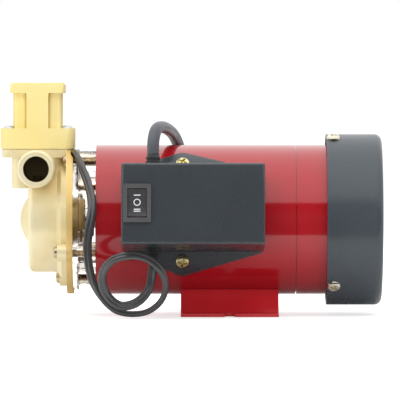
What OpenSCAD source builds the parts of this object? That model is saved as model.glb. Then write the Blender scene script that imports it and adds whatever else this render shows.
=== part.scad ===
// Shower booster pump: brass in-line pump head with a flow switch on top,
// clear lantern, dry motor with a cooling fan, and a control box on its saddle.
// The origin is on the floor under the motor axis, at the middle of the foot.
// X runs from the pump head to the fan, -Y faces the user, Z is up.

/* [Motor] */
// Height of the motor axis above the floor
axis_h = 53.9; // [53:0.1:58]
// Outer diameter of the red motor shell
motor_d = 85; // [84:0.2:86]
// Wall of the pressed motor shell
shell_wall = 1.2; // [0.8:0.1:1.6]
// Distance from the middle of the foot to the front face of the motor
front_reach = 75.7; // [72:0.1:80]
// Length of the main motor shell, front face to seam
shell_len = 113; // [112:0.5:118]
// Length of the rear shell behind the seam
rear_len = 21.3; // [20.5:0.1:23]
// Groove between the two shells
seam_gap = 0.5; // [0.3:0.1:1]
// Shaft diameter in the bearings
shaft_d = 10; // [9:0.5:11]
// Outer diameter of both ball bearings
bearing_d = 26; // [24:0.5:28]
// Width of both ball bearings
bearing_w = 8; // [7:0.5:9]
// Diameter of the bore in the stator core
stator_bore_d = 48; // [46:0.5:50]
// Length of the stator core
stator_len = 44; // [36:1:46]
// Number of stator slots
stator_slots = 24; // [12:12:36]

/* [Fan and fan cover] */
// Outer diameter of the fan cover
cover_d = 97.2; // [96:0.2:99]
// Length of the fan cover
cover_len = 31.5; // [30:0.5:36]
// How far the fan cover reaches back from its end over the rear shell
cover_overlap = 4.2; // [4:0.1:6]
// Wall of the fan cover
cover_wall = 1.8; // [1.4:0.1:2.2]
// Corner radius of the fan cover
cover_corner = 4; // [2:0.5:6]
// Width of the grille slots
grille_slot = 3; // [2:0.2:3.6]
// Number of spokes across the grille
grille_spokes = 8; // [6:1:12]
// Diameter of the cooling fan
fan_d = 78; // [70:1:84]
// Number of fan blades
fan_blades = 8; // [6:1:10]
// Angle of the first fan cover screw above the horizontal at the front
cover_screw_angle = 72; // [60:1:85]

/* [Foot] */
// Length of the sheet foot along the motor
foot_len = 55.4; // [50:0.2:60]
// Depth of the foot over both flanges
foot_depth = 76; // [72:1:84]
// Thickness of the foot's sheet
foot_sheet = 2; // [1.5:0.1:2.5]
// Width of the open bolt slot in each flange
slot_w = 5.6; // [5:0.1:6.5]
// Depth of each bolt slot from the edge of its flange
slot_reach = 8; // [6:0.5:9]

/* [Pump casing] */
// Diameter of the casing's flange
flange_d = 84.6; // [84:0.2:86]
// Thickness of the casing's flange
flange_t = 3.8; // [3.4:0.1:5]
// Diameter of the round pump body
volute_d = 60; // [58:0.5:62]
// Length of the round pump body with its flange
volute_len = 25.4; // [24.5:0.1:26.5]
// Diameter of the stepped ring behind the flange
step_d = 66.8; // [64:0.2:68]
// Diameter of the domed boss on the end of the casing
dome_d = 26.8; // [24:0.2:30]
// Height of the domed boss
dome_h = 5.2; // [4:0.1:6]
// Bolt circle radius of the four casing screws
bolt_r = 38; // [37.5:0.1:38.5]
// Angle of the first casing screw above the horizontal at the front
bolt_angle = -27.6; // [-35:0.2:-20]
// Diameter of the impeller
impeller_d = 42; // [38:0.5:43]
// Number of impeller blades
impeller_blades = 24; // [12:1:30]

/* [Spouts] */
// Outside diameter of the pipe thread on each spout
thread_d = 20.955; // [20:0.005:21.5]
// Bore of each spout
spout_bore = 14.6; // [12:0.1:15]
// Distance between the two spout faces
face_to_face = 88; // [80:1:100]
// Length of the pipe thread on each spout, clear of the round body
thread_len = 19.6; // [15:0.2:22]
// Height of the spouts above the motor axis
spout_h = 29.5; // [29:0.1:31]

/* [Flow switch] */
// Width of the flow switch flange, ears included
ear_w = 42; // [41:0.2:43]
// Depth of the flow switch flange and its lid
switch_depth = 31; // [30:0.2:32]
// Height of the plastic flange
switch_flange_h = 11.5; // [10.5:0.1:13]
// Height of the plastic tower between flange and lid
tower_h = 20; // [18:0.5:24]
// Width of the tower
tower_w = 28; // [27:0.2:29]
// Width of the middle rib on each side of the tower
rib_w = 12.4; // [10:0.2:14]
// Thickness of the lid
lid_h = 5.8; // [4:0.1:7]
// How far the flow piston lifts
piston_lift = 6; // [3:0.5:6.5]
// Diameter of the flow piston
piston_d = 17; // [15:0.2:17.2]

/* [Lantern] */
// Gap between casing flange and motor that the lantern bridges
lantern_len = 12.9; // [12.5:0.1:16]
// Diameter of the lantern's front plate
lantern_d = 80; // [79.6:0.1:80.6]

/* [Control box] */
// Width of the control box along the motor
box_w = 80; // [78:0.5:84]
// Height of the control box
box_h = 45.4; // [44:0.2:48]
// Distance from the motor axis to the front of the box
box_reach = 82.5; // [81:0.5:90]
// Position of the box's middle along the motor
box_x = -20.6; // [-23:0.2:-19]
// Wall of the control box
box_wall = 2; // [1.6:0.1:2.4]
// Upward tilt of box and saddle about the motor axis
box_tilt = 8; // [6:0.5:10]
// Thickness of the saddle plate
saddle_t = 2; // [1.8:0.1:2.2]
// Angle of the saddle screws either side of the box's middle
saddle_screw_angle = 37.8; // [36:0.2:40]
// Position of the saddle screws along the motor
saddle_screw_x = -26.6; // [-30:0.2:-24]

/* [Rocker switch] */
// Width of the rocker switch frame
bezel_w = 15.4; // [14.6:0.2:16]
// Height of the rocker switch frame
bezel_h = 21.4; // [20:0.2:23]
// Width of the rocker
rocker_w = 10.4; // [9.5:0.1:11]
// Height of the rocker
rocker_h = 15.4; // [14:0.2:16]
// Tilt of the rocker either way from its middle place
rocker_tilt = 9; // [6:0.5:10]

/* [Cords] */
// Diameter of the mains lead
mains_d = 6.8; // [6:0.1:7]
// Width of the flat lead to the flow switch
lead_d = 3.8; // [3:0.1:4]
// Number of full turns before the last part turn of the mains hank
hank_turns = 2; // [1:1:3]
// Straight length between the two folds of the hank
hank_run = 104; // [100:1:112]
// Half width of the hank at its folds
hank_fold = 24.5; // [22:0.5:25]

/* [Hidden] */
$fn = 96;

// Colours as photographed
brass_tone = [0.86, 0.74, 0.44];
screw_tone = [0.80, 0.68, 0.38];
steel_tone = [0.70, 0.71, 0.73];
zinc_tone = [0.62, 0.63, 0.65];
red_tone = [0.60, 0.10, 0.12];
dark_tone = [0.25, 0.26, 0.28];
black_tone = [0.10, 0.10, 0.11];
yellow_tone = [0.96, 0.90, 0.62];
clear_tone = [0.85, 0.90, 0.92, 0.45];
copper_tone = [0.72, 0.42, 0.22];
grey_tone = [0.48, 0.49, 0.50];

// General clearances and overruns
cut = 1;
fit = 0.05;
air = 0.3;
sink = 0.4;
half = 1 / 2;

// Motor places, from the foot's middle along X
motor_r = motor_d / 2;
shell_in_r = motor_r - shell_wall;
motor_x0 = -front_reach;
seam_x = motor_x0 + shell_len;
rear_x0 = seam_x + seam_gap;
rear_x1 = rear_x0 + rear_len;
end_face_t = 1.6;
rear_face_t = 2;
shell_mouth_r = 24;
spigot_t = 1.2;
spigot_len = 3.2;

// Bearings and shaft
shaft_r = shaft_d / 2;
bearing_r = bearing_d / 2;
bearing_lip = 1;
shield_x0 = motor_x0 + end_face_t;
shield_t = 5;
shield_boss_t = 3.4;
front_bearing_x = shield_x0 + bearing_lip + fit;
rear_bearing_x = rear_x1 - rear_face_t - bearing_w - fit;

// Stator, windings and rotor
core_x = seam_x - 3.4 - stator_len;
core_r = shell_in_r - fit;
bore_r = stator_bore_d / 2;
slot_depth = 10.5;
slot_open = 2;
slot_share = 0.5;
coil_in_r = bore_r + 3;
coil_out_r = core_r - 2.4;
coil_front_len = 16;
coil_back_len = 12;
rotor_r = bore_r - 0.5;
rotor_ring_len = 5;
rotor_ring_t = 7;
waist_shaft_r = shaft_r + 1.5;

// Fan and fan cover
cover_r = cover_d / 2;
cover_in_r = cover_r - cover_wall;
cover_x0 = rear_x1 - cover_overlap;
cover_x1 = cover_x0 + cover_len;
cover_end_t = cover_wall;
cover_screw_x = cover_x0 + 3.9;
lug_w = 8;
lug_len = 3.6;
lug_root = 2;
grille_rib = 2.4;
grille_hub_r = 10;
grille_out_r = cover_r - cover_corner - 2;
spoke_w = 2.6;
fan_r = fan_d / 2;
fan_x = rear_x1 + 3;
fan_disc_t = 1.6;
fan_blade_h = 11;
fan_blade_t = 1.6;
fan_hub_r = 9;
fan_hub_len = 14;
blade_sweep_r = 34;

// Screws in general: pan head radius and height, shank radius
cover_head_r = 3.85;
cover_head_h = 2.4;
m4_r = 2;
casing_head_r = 3.5;
casing_head_h = 2.2;
saddle_head_r = 4.1;
saddle_head_h = 2.6;
saddle_shank_r = 1.9;
ear_head_r = 3.4;
ear_head_h = 2;
ear_shank_r = 1.7;
box_head_r = 2.7;
box_head_h = 1.3;
box_shank_r = 1.4;
dome_share = 0.55;

// Foot
foot_half = foot_depth / 2;
foot_toe = 13;
strap_w = 0.6 * foot_len;
saddle_half = 17;
foot_gap = 0.1;
foot_saddle_r = motor_r + foot_gap;
leg_top = axis_h - sqrt(foot_saddle_r * foot_saddle_r - saddle_half * saddle_half);

// Pump casing, from its flange back along X
flange_x1 = motor_x0 - lantern_len;
flange_x0 = flange_x1 - flange_t;
volute_x0 = flange_x1 - volute_len;
step_back = 9.2;
step_slope = 2.4;
volute_corner = 3;
flange_r = flange_d / 2;
volute_r = volute_d / 2;
step_r = step_d / 2;
dome_r = dome_d / 2;
boss_r = 5;
boss_back = 8.8;
boss_x0 = flange_x1 - boss_back;
head_back = 20.4;
head_x = flange_x1 - head_back;
spout_z = axis_h + spout_h;
seat_rise = 10.5;
seat_z = spout_z + seat_rise;
seat_t = 4.4;
seat_inset = 1.4;
gasket_t = 0.6;
block_drop = 11.4;
block_z0 = spout_z - block_drop;
block_w = 29.6;
block_corner = 8;
seat_corner = 5;
neck_w = 9.5;
neck_h = 4;
spout_r = thread_d / 2;
spout_chamfer = 0.8;
spout_run = 2.5;
thread_y0 = face_to_face / 2 - thread_len;
spout_run_r = spout_r - 1.2;
lead_groove_r = lead_d / 2 + 0.6;

// Water ways inside the casing
chamber_r = impeller_d / 2 + 0.8;
cover_disc_t = 3;
cover_disc_r = volute_r - 1;
impeller_t = 8;
chamber_x1 = flange_x1 - cover_disc_t;
chamber_x0 = chamber_x1 - impeller_t - 2 * air;
piston_y = 4;
piston_r = piston_d / 2;
well_r = piston_r + 0.4;
well_z0 = spout_z - 4.5;
suction_y = -9.4;
suction_r = 3.3;
eye_r = 4.5;
delivery_x = chamber_x0 + 1.1;
delivery_r = 3;
near_bore_end = 7.5;

// Impeller, nut, seal and cover hub
impeller_r = impeller_d / 2;
impeller_x = chamber_x0 + air;
water_shaft_r = shaft_r - 1;
blade_slot_w = 2.2;
blade_slot_in_r = impeller_r - 5;
impeller_web = 1.6;
nut_r = 4.4;
nut_t = 2.4;
seal_r = 9;
seal_len = 5;
hub_r = 12.5;
hub_len = 6.2;
seal_pocket_r = seal_r + air;
seal_pocket_len = seal_len + 2 * air;
ring_r = 1.2;
ring_path_r = cover_disc_r - 2.4;

// Lantern
plate_t = 3;
column_r = 6;
column_hole_r = m4_r + 0.25;
lantern_r = lantern_d / 2;
lantern_hub_r = hub_r + 0.2;
lantern_hub_wall = 2.4;
lantern_hub_len = 5;
lantern_rib_t = 1.8;
lantern_rib_h = 7.5;
slinger_r = 9.5;
slinger_t = 2;
slinger_x = motor_x0 - 3.6;

// Flow switch
switch_z = seat_z + gasket_t;
tower_z = switch_z + switch_flange_h;
lid_z = tower_z + tower_h;
ear_x = ear_w / 2 - 4.8;
ear_y = switch_depth / 2 - 5;
ear_sink = 0.6;
column_w = 8;
column_set_back = 3;
column_corner = 2.5;
lid_w = tower_w + 3;
lid_corner = 1.8;
guide_r = 4.2;
guide_wall = 2;
guide_top = 26;
stem_r = guide_r - air;
stem_len = 31;
piston_t = 3.4;
piston_z = well_z0 + air;
reed_r = 1.3;
reed_len = 15;
reed_x = guide_r + guide_wall + 2.2;

// Control box, in its own frame: z away from the motor axis, y up
saddle_r0 = motor_r + 0.1;
saddle_r1 = saddle_r0 + saddle_t;
box_r0 = saddle_r1 + fit;
box_edge = 1.6;
box_front_t = 2.2;
saddle_w = 78;
saddle_half_h = box_h / 2 + 0.3;
tab_r = 9.6;
boss_col_r = 2.9;
boss_left_x = 21 - box_w / 2;
boss_right_x = box_w / 2 - 4;
boss_top = 14;
cap_share = 0.317;
cap_r = (box_reach - saddle_r1) * cap_share;
cap_len = box_w - 34;
cap_x = 26 - box_w / 2;
cap_y = -6;
cap_lift = 0.2;
block_len = 26;
block_deep = 12;
block_high = 11;
block_x = box_w / 2 - 37;
block_lift = 4;
terminals = 4;
terminal_r = 2;

// Rocker switch, in the box's frame
switch_x = 8.9 - box_w / 2;
bezel_t = 1.6;
bezel_edge = 1;
body_w = 13.6;
body_h = 18.8;
body_deep = 17;
pivot_drop = 0.6;
rocker_air = 0.25;
rocker_r = rocker_h / 2 + 0.2;
rocker_rise = 1.2;
rocker_under = 4;
rocker_dish_r = 26;
pin_r = 1;
pin_reach = 1.1;

// Cable bushes, in the box's frame
bush_x = 17.6 - box_w / 2;
bush_z = 60;
bush_r = 4.2;
lead_bush_in = 8;
lead_bush_len = 6;
mains_bush_in = 14;
mains_bush_len = 6.5;
bush_groove = 0.9;
bush_rib = 1;

// Mains hank, behind the foot
hank_lift = 1.3;
hank_waist = 4.3;
waist_share = 0.4;
hank_pitch = mains_d + 0.5;
hank_y = 78;
hank_z = mains_d / 2 + hank_lift;
fold_rings = 7;
run_rings = 5;
tie_t = 1;
tie_w = 8;
tie_gap = 0.2;

// Plug, lying on the far half of the hank
plug_x = 0;
plug_r = 18;
plug_face_len = 16;
plug_slope = 6;
plug_len = 40;
plug_neck_r = 5.6;
pin_len = 19;
plug_pin_r = 2.4;
pin_gap = 19;

// Outline of a plate with rounded corners
module rounded_plate(w, d, r) {
    square([w - 2 * r, d], center = true);
    square([w, d - 2 * r], center = true);
    for (sx = [-1, 1], sy = [-1, 1])
        translate([sx * (w / 2 - r), sy * (d / 2 - r)]) circle(r = r);
}

// A tube along Z
module tube(len, outer, inner) {
    difference() {
        cylinder(h = len, r = outer);
        translate([0, 0, -cut]) cylinder(h = len + 2 * cut, r = inner);
    }
}

// Local Z runs along the motor axis, from the given place
module along_motor(x) {
    translate([x, 0, axis_h]) rotate([0, 90, 0]) children();
}

// As along_motor, off the axis at an angle above the front horizontal
module around_motor(angle, r, x) {
    translate([x, -r * cos(angle), axis_h + r * sin(angle)]) rotate([0, 90, 0]) children();
}

// Local Z points away from the motor axis at that angle, local Y upward along the shell
module out_of_motor(angle, x) {
    translate([x, 0, axis_h]) rotate([90 - angle, 0, 0]) children();
}

// The control box's own frame
module in_box() {
    out_of_motor(box_tilt, box_x) children();
}

// Local Z points out of the spout on that side
module out_of_spout(side) {
    translate([head_x, 0, spout_z]) rotate([-90 * side, 0, 0]) children();
}

// The four casing screws stand at these angles
function bolt_angles() = [for (i = [0:3]) bolt_angle + i * 90];

// The lower screws sit on bosses, the upper ones on the flange, clear of the spouts' union nuts
function bolt_seat_x(a) = sin(a) > 0 ? flange_x0 : boss_x0;

// The three fan cover screws stand at these angles
function cover_angles() = [for (i = [0:2]) cover_screw_angle + i * 120];

// Pan head with a domed top, its seat at z = 0
module pan_head(r, h) {
    dome_rise = h * dome_share;
    ball_r = (r * r + dome_rise * dome_rise) / (2 * dome_rise);
    cylinder(h = h - dome_rise, r = r);
    translate([0, 0, h - dome_rise]) intersection() {
        cylinder(h = dome_rise, r = r);
        translate([0, 0, dome_rise - ball_r]) sphere(r = ball_r);
    }
}

// Half section of the round pump body: radius across, length along the motor
module volute_section() {
    translate([0, volute_corner]) square([volute_r, volute_len - volute_corner]);
    square([volute_r - volute_corner, volute_len]);
    translate([volute_r - volute_corner, volute_corner]) circle(r = volute_corner);
    polygon([
        [volute_r - step_slope, volute_len - step_back],
        [volute_r, volute_len - step_back],
        [step_r, volute_len - step_back + step_slope],
        [step_r, volute_len],
        [volute_r - step_slope, volute_len]
    ]);
    translate([0, volute_len - flange_t]) square([flange_r, flange_t]);
}

module casing_dome() {
    ball_r = (dome_r * dome_r + dome_h * dome_h) / (2 * dome_h);
    along_motor(volute_x0 - dome_h) intersection() {
        cylinder(h = dome_h + cut, r = dome_r);
        translate([0, 0, ball_r]) sphere(r = ball_r);
    }
}

// Neck that swells from the switch block into the round body
module casing_neck() {
    hull() {
        along_motor(volute_x0 + volute_corner)
            cylinder(h = volute_len - volute_corner - flange_t, r = volute_r - sink, $fn = 32);
        translate([volute_x0, -block_w / 2 + sink, block_z0])
            cube([neck_w, block_w - 2 * sink, neck_h]);
    }
}

module switch_block() {
    translate([head_x, 0, block_z0])
        linear_extrude(seat_z - block_z0) rounded_plate(block_w, block_w, block_corner);
    translate([head_x, 0, seat_z - seat_t])
        linear_extrude(seat_t) rounded_plate(ear_w - seat_inset, switch_depth - 1, seat_corner);
}

module spout_body(side) {
    out_of_spout(side) rotate_extrude() polygon([
        [0, 0],
        [spout_r, 0],
        [spout_r, thread_y0 - spout_run],
        [spout_run_r, thread_y0 - spout_run],
        [spout_run_r, thread_y0],
        [spout_r, thread_y0],
        [spout_r, face_to_face / 2 - spout_chamfer],
        [spout_r - spout_chamfer, face_to_face / 2],
        [0, face_to_face / 2]
    ]);
}

module water_ways() {
    along_motor(chamber_x0) cylinder(h = chamber_x1 - chamber_x0 + cut, r = chamber_r);
    along_motor(chamber_x0 - nut_t) cylinder(h = nut_t + cut, r = nut_r + 2 * air);
    along_motor(chamber_x1) cylinder(h = cover_disc_t + cut, r = cover_disc_r + fit);
    along_motor(chamber_x1 - 2 * ring_r - fit)
        tube(2 * ring_r + cut, ring_path_r + ring_r + fit, ring_path_r - ring_r - fit);
    // Near spout, down the suction channel to the eye
    out_of_spout(-1) translate([0, 0, near_bore_end])
        cylinder(h = face_to_face / 2, r = spout_bore / 2);
    translate([head_x, suction_y, axis_h + suction_y / 2])
        cylinder(h = spout_h, r = suction_r);
    translate([head_x, suction_y, axis_h + suction_y / 2])
        rotate([0, 90, 0]) cylinder(h = chamber_x0 - head_x + cut, r = eye_r);
    // Chamber up into the piston's well, and out of the far spout
    translate([delivery_x, piston_y, axis_h]) cylinder(h = spout_h, r = delivery_r);
    translate([head_x, piston_y, well_z0]) cylinder(h = seat_z, r = well_r);
    out_of_spout(1) translate([0, 0, piston_y])
        cylinder(h = face_to_face / 2, r = spout_bore / 2);
}

module pump_casing() {
    color(brass_tone) difference() {
        union() {
            difference() {
                along_motor(volute_x0) rotate_extrude() volute_section();
                translate([flange_x0 - cut, -flange_r, seat_z])
                    cube([flange_t + 2 * cut, flange_d, flange_r]);
            }
            casing_dome();
            casing_neck();
            switch_block();
            for (side = [-1, 1]) spout_body(side);
            for (a = bolt_angles()) if (sin(a) < 0)
                around_motor(a, bolt_r, boss_x0) cylinder(h = boss_back, r = boss_r);
        }
        water_ways();
        for (a = bolt_angles())
            around_motor(a, bolt_r, bolt_seat_x(a) - cut)
                cylinder(h = boss_back + 2 * cut, r = column_hole_r);
        for (a = bolt_angles())
            around_motor(a, bolt_r, bolt_seat_x(a) - casing_head_h - air)
                cylinder(h = casing_head_h + air, r = casing_head_r + air);
        for (sx = [-1, 1], sy = [-1, 1])
            translate([head_x + sx * ear_x, sy * ear_y, seat_z - seat_t - cut])
                cylinder(h = seat_t + 2 * cut, r = ear_shank_r + fit);
        lead_groove();
    }
}

// Groove in the edges of seat, flange and lantern that the flat lead lies in
module lead_groove() {
    run = groove_end - groove_start;
    translate(groove_start) rotate([0, acos(run[2] / norm(run)), atan2(run[1], run[0])])
        cylinder(h = norm(run), r = lead_groove_r);
}

module casing_cover() {
    color(brass_tone) difference() {
        union() {
            along_motor(chamber_x1) cylinder(h = cover_disc_t, r = cover_disc_r);
            along_motor(flange_x1 - fit) cylinder(h = hub_len + fit, r = hub_r);
        }
        along_motor(chamber_x1 - cut) cylinder(h = cut + seal_pocket_len, r = seal_pocket_r);
        along_motor(chamber_x1) cylinder(h = volute_len, r = shaft_r + 0.5);
    }
}

module casing_ring() {
    color(black_tone) along_motor(chamber_x1 - ring_r)
        rotate_extrude() translate([ring_path_r, 0]) circle(r = ring_r);
}

// Peripheral wheel: slots cut into both faces of the rim leave the blades between them
module impeller() {
    color(brass_tone) difference() {
        along_motor(impeller_x) cylinder(h = impeller_t, r = impeller_r);
        along_motor(impeller_x - cut) cylinder(h = impeller_t + 2 * cut, r = water_shaft_r + fit / 2);
        for (i = [0:impeller_blades - 1], face = [0, 1])
            along_motor(impeller_x + face * (impeller_t / 2 + impeller_web / 2))
                rotate([0, 0, i * 360 / impeller_blades])
                    translate([blade_slot_in_r, -blade_slot_w / 2, (1 - face) * -cut])
                        cube([impeller_r, blade_slot_w,
                              impeller_t / 2 - impeller_web / 2 + cut]);
    }
}

module impeller_nut() {
    color(steel_tone) along_motor(impeller_x - nut_t) difference() {
        cylinder(h = nut_t, r = nut_r, $fn = 6);
        translate([0, 0, air]) cylinder(h = nut_t, r = water_shaft_r - 1 + fit / 2);
    }
}

module shaft_seal() {
    color(black_tone) along_motor(chamber_x1 + air) tube(seal_len, seal_r, water_shaft_r + fit / 2);
}

module casing_screws() {
    color(screw_tone) for (a = bolt_angles()) around_motor(a, bolt_r, bolt_seat_x(a)) {
        rotate([180, 0, 0]) pan_head(casing_head_r, casing_head_h);
        cylinder(h = shield_x0 + shield_t - bolt_seat_x(a), r = m4_r);
    }
}

module lantern() {
    color(clear_tone) difference() {
        union() {
            along_motor(flange_x1) cylinder(h = plate_t, r = lantern_r);
            along_motor(flange_x1)
                cylinder(h = lantern_hub_len, r = lantern_hub_r + lantern_hub_wall);
            intersection() {
                along_motor(flange_x1) cylinder(h = lantern_len, r = flange_r - air);
                for (a = bolt_angles())
                    around_motor(a, bolt_r, flange_x1)
                        cylinder(h = lantern_len, r = column_r);
            }
            for (a = bolt_angles()) out_of_motor(a, flange_x1)
                translate([0, -lantern_rib_t / 2, lantern_hub_r + lantern_hub_wall / 2])
                    cube([lantern_rib_h, lantern_rib_t,
                          bolt_r - column_r / 2 - lantern_hub_r - lantern_hub_wall / 2]);
        }
        along_motor(flange_x1 - cut)
            cylinder(h = lantern_len, r = lantern_hub_r);
        for (a = bolt_angles())
            around_motor(a, bolt_r, flange_x1 - cut)
                cylinder(h = lantern_len + 2 * cut, r = column_hole_r);
        lead_groove();
    }
}

module water_slinger() {
    color(black_tone) along_motor(slinger_x) tube(slinger_t, slinger_r, shaft_r + fit / 2);
}

// Pressed shell with a closed front, a mouth for the shield and a plain rear edge
module motor_shell() {
    color(red_tone) difference() {
        along_motor(motor_x0) cylinder(h = shell_len, r = motor_r);
        along_motor(motor_x0 + end_face_t) cylinder(h = shell_len, r = shell_in_r);
        along_motor(motor_x0 - cut) cylinder(h = end_face_t + 2 * cut, r = shell_mouth_r);
        for (a = bolt_angles())
            around_motor(a, bolt_r, motor_x0 - cut)
                cylinder(h = end_face_t + 2 * cut, r = column_hole_r);
        for (s = [-1, 1])
            out_of_motor(box_tilt + s * saddle_screw_angle, saddle_screw_x)
                translate([0, 0, core_r - cut]) cylinder(h = 2 * cut + shell_wall, r = saddle_shank_r + fit);
    }
}

// Cast end shield behind the front face, with the front bearing's seat
module front_shield() {
    color(zinc_tone) difference() {
        union() {
            along_motor(shield_x0) cylinder(h = shield_t, r = shell_in_r - fit);
            along_motor(shield_x0)
                cylinder(h = shield_t + shield_boss_t + fit, r = bearing_r + 4);
        }
        along_motor(shield_x0 - cut) cylinder(h = cut + bearing_lip + cut, r = shaft_r + 3);
        along_motor(shield_x0 + bearing_lip)
            cylinder(h = shield_t + bearing_w, r = bearing_r + fit / 2);
        for (a = bolt_angles())
            around_motor(a, bolt_r, shield_x0 - cut)
                cylinder(h = shield_t + 2 * cut, r = m4_r + fit / 2);
    }
}

// Rear shell: closed end with the rear bearing's seat, spigot at the seam, lugs for the cover
module rear_shell() {
    color(red_tone) difference() {
        union() {
            along_motor(rear_x0) cylinder(h = rear_len, r = motor_r);
            along_motor(seam_x - spigot_len)
                cylinder(h = spigot_len + seam_gap, r = shell_in_r - fit);
            for (a = cover_angles())
                out_of_motor(a, cover_screw_x)
                    translate([-lug_len, -lug_w / 2, shell_in_r - lug_root])
                        cube([2 * lug_len, lug_w,
                              cover_in_r - air - sink - shell_in_r + lug_root]);
        }
        difference() {
            along_motor(seam_x - spigot_len - cut)
                cylinder(h = rear_x1 - rear_face_t - seam_x + spigot_len + cut,
                         r = shell_in_r - spigot_t);
            along_motor(rear_bearing_x)
                cylinder(h = rear_x1 - rear_bearing_x, r = bearing_r + 3);
        }
        along_motor(rear_bearing_x - cut)
            cylinder(h = bearing_w + fit + cut, r = bearing_r + fit / 2);
        along_motor(rear_bearing_x) cylinder(h = rear_len, r = shaft_r + 2);
        for (a = cover_angles())
            out_of_motor(a, cover_screw_x) translate([0, 0, motor_r - shell_wall])
                cylinder(h = cover_r, r = m4_r + fit / 2);
    }
}

// Ball bearing: outer ring, inner ring and the shields between them
module bearing(x) {
    ring_t = bearing_w / 4;
    color(steel_tone) along_motor(x) difference() {
        cylinder(h = bearing_w, r = bearing_r);
        translate([0, 0, -cut]) cylinder(h = bearing_w + 2 * cut, r = shaft_r + fit / 2);
        for (z = [-cut, bearing_w - air])
            translate([0, 0, z]) tube(cut + air, bearing_r - ring_t, shaft_r + ring_t);
    }
}

module front_bearing() {
    bearing(front_bearing_x);
}

module rear_bearing() {
    bearing(rear_bearing_x);
}

// Laminated core: slots open toward the bore through a narrow mouth
module stator_core() {
    slot_w_in = 2 * PI * (bore_r + slot_open) / stator_slots * slot_share;
    color(zinc_tone) along_motor(core_x) linear_extrude(stator_len) difference() {
        circle(r = core_r);
        circle(r = bore_r);
        for (i = [0:stator_slots - 1]) rotate(i * 360 / stator_slots) {
            translate([bore_r + slot_open, -slot_w_in / 2]) square([slot_depth, slot_w_in]);
            translate([bore_r - cut, -slot_open / 2]) square([2 * cut + slot_open, slot_open]);
        }
    }
}

// Coil heads either side of the core
module windings() {
    color(copper_tone) for (end = [[core_x - fit - coil_front_len, coil_front_len],
                                   [core_x + stator_len + fit, coil_back_len]])
        along_motor(end[0]) rotate_extrude() {
            coil_t = coil_out_r - coil_in_r;
            corner = coil_t / 3;
            translate([coil_in_r + coil_t / 2, end[1] / 2])
                rounded_plate(coil_t, end[1], corner);
        }
}

module rotor() {
    color(steel_tone) difference() {
        union() {
            along_motor(core_x) cylinder(h = stator_len, r = rotor_r);
            along_motor(core_x - rotor_ring_len)
                tube(stator_len + 2 * rotor_ring_len, rotor_r - 1, rotor_r - rotor_ring_t);
        }
        along_motor(core_x - rotor_ring_len - cut)
            cylinder(h = stator_len + 2 * rotor_ring_len + 2 * cut, r = waist_shaft_r + fit / 2);
    }
}

module motor_shaft() {
    nose_x = impeller_x - nut_t + air + fit;
    tail_x = fan_x + fan_hub_len;
    wide_x0 = front_bearing_x + bearing_w + fit;
    wide_x1 = rear_bearing_x - fit;
    color(steel_tone) along_motor(nose_x) rotate_extrude() polygon([
        [0, 0],
        [water_shaft_r - 1, 0],
        [water_shaft_r - 1, impeller_x - nose_x],
        [water_shaft_r, impeller_x - nose_x],
        [water_shaft_r, flange_x1 + seal_len - nose_x],
        [shaft_r, flange_x1 + seal_len - nose_x],
        [shaft_r, wide_x0 - nose_x],
        [waist_shaft_r, wide_x0 - nose_x],
        [waist_shaft_r, wide_x1 - nose_x],
        [shaft_r, wide_x1 - nose_x],
        [shaft_r, tail_x - nose_x],
        [0, tail_x - nose_x]
    ]);
}

// One swept blade: a slice of a thin ring, cut off at hub and rim
module fan_blade() {
    intersection() {
        translate([0, blade_sweep_r]) difference() {
            circle(r = blade_sweep_r + fan_blade_t / 2);
            circle(r = blade_sweep_r - fan_blade_t / 2);
        }
        translate([fan_hub_r / 2, -blade_sweep_r]) square([fan_r, 2 * blade_sweep_r]);
        circle(r = fan_r);
    }
}

module cooling_fan() {
    color(black_tone) along_motor(fan_x) difference() {
        union() {
            cylinder(h = fan_disc_t, r = fan_r);
            cylinder(h = fan_hub_len, r = fan_hub_r);
            translate([0, 0, fan_disc_t / 2]) linear_extrude(fan_blade_h)
                for (i = [0:fan_blades - 1]) rotate(i * 360 / fan_blades) fan_blade();
        }
        translate([0, 0, -cut]) cylinder(h = fan_hub_len + 2 * cut, r = shaft_r + fit / 2);
    }
}

// Half section of the fan cover, radius across, length from its open rim
module cover_section() {
    difference() {
        union() {
            square([cover_r, cover_len - cover_corner]);
            square([cover_r - cover_corner, cover_len]);
            translate([cover_r - cover_corner, cover_len - cover_corner])
                circle(r = cover_corner);
        }
        translate([-cut, -cut])
            square([cover_in_r + cut, cover_len - cover_corner + cut]);
        translate([-cut, -cut])
            square([cover_r - cover_corner + cut, cover_len - cover_end_t + cut]);
        translate([cover_r - cover_corner, cover_len - cover_corner])
            circle(r = cover_corner - cover_wall);
    }
}

// Ring slots crossed by spokes
module grille_slots() {
    pitch = grille_slot + grille_rib;
    difference() {
        for (r = [grille_hub_r : pitch : grille_out_r - grille_slot])
            difference() {
                circle(r = r + grille_slot);
                circle(r = r);
            }
        for (i = [0:grille_spokes - 1]) rotate(i * 360 / grille_spokes)
            translate([0, -spoke_w / 2]) square([cover_r, spoke_w]);
    }
}

module fan_cover() {
    color(dark_tone) difference() {
        along_motor(cover_x0) rotate_extrude() cover_section();
        along_motor(cover_x1 - cover_end_t - cut)
            linear_extrude(cover_end_t + 2 * cut) grille_slots();
        for (a = cover_angles())
            out_of_motor(a, cover_screw_x) translate([0, 0, motor_r])
                cylinder(h = cover_r, r = m4_r + fit);
    }
}

module fan_cover_screws() {
    color(steel_tone) for (a = cover_angles()) out_of_motor(a, cover_screw_x) {
        translate([0, 0, cover_r]) pan_head(cover_head_r, cover_head_h);
        translate([0, 0, motor_r]) cylinder(h = cover_wall + cover_r - motor_r - sink, r = m4_r);
    }
}

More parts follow.
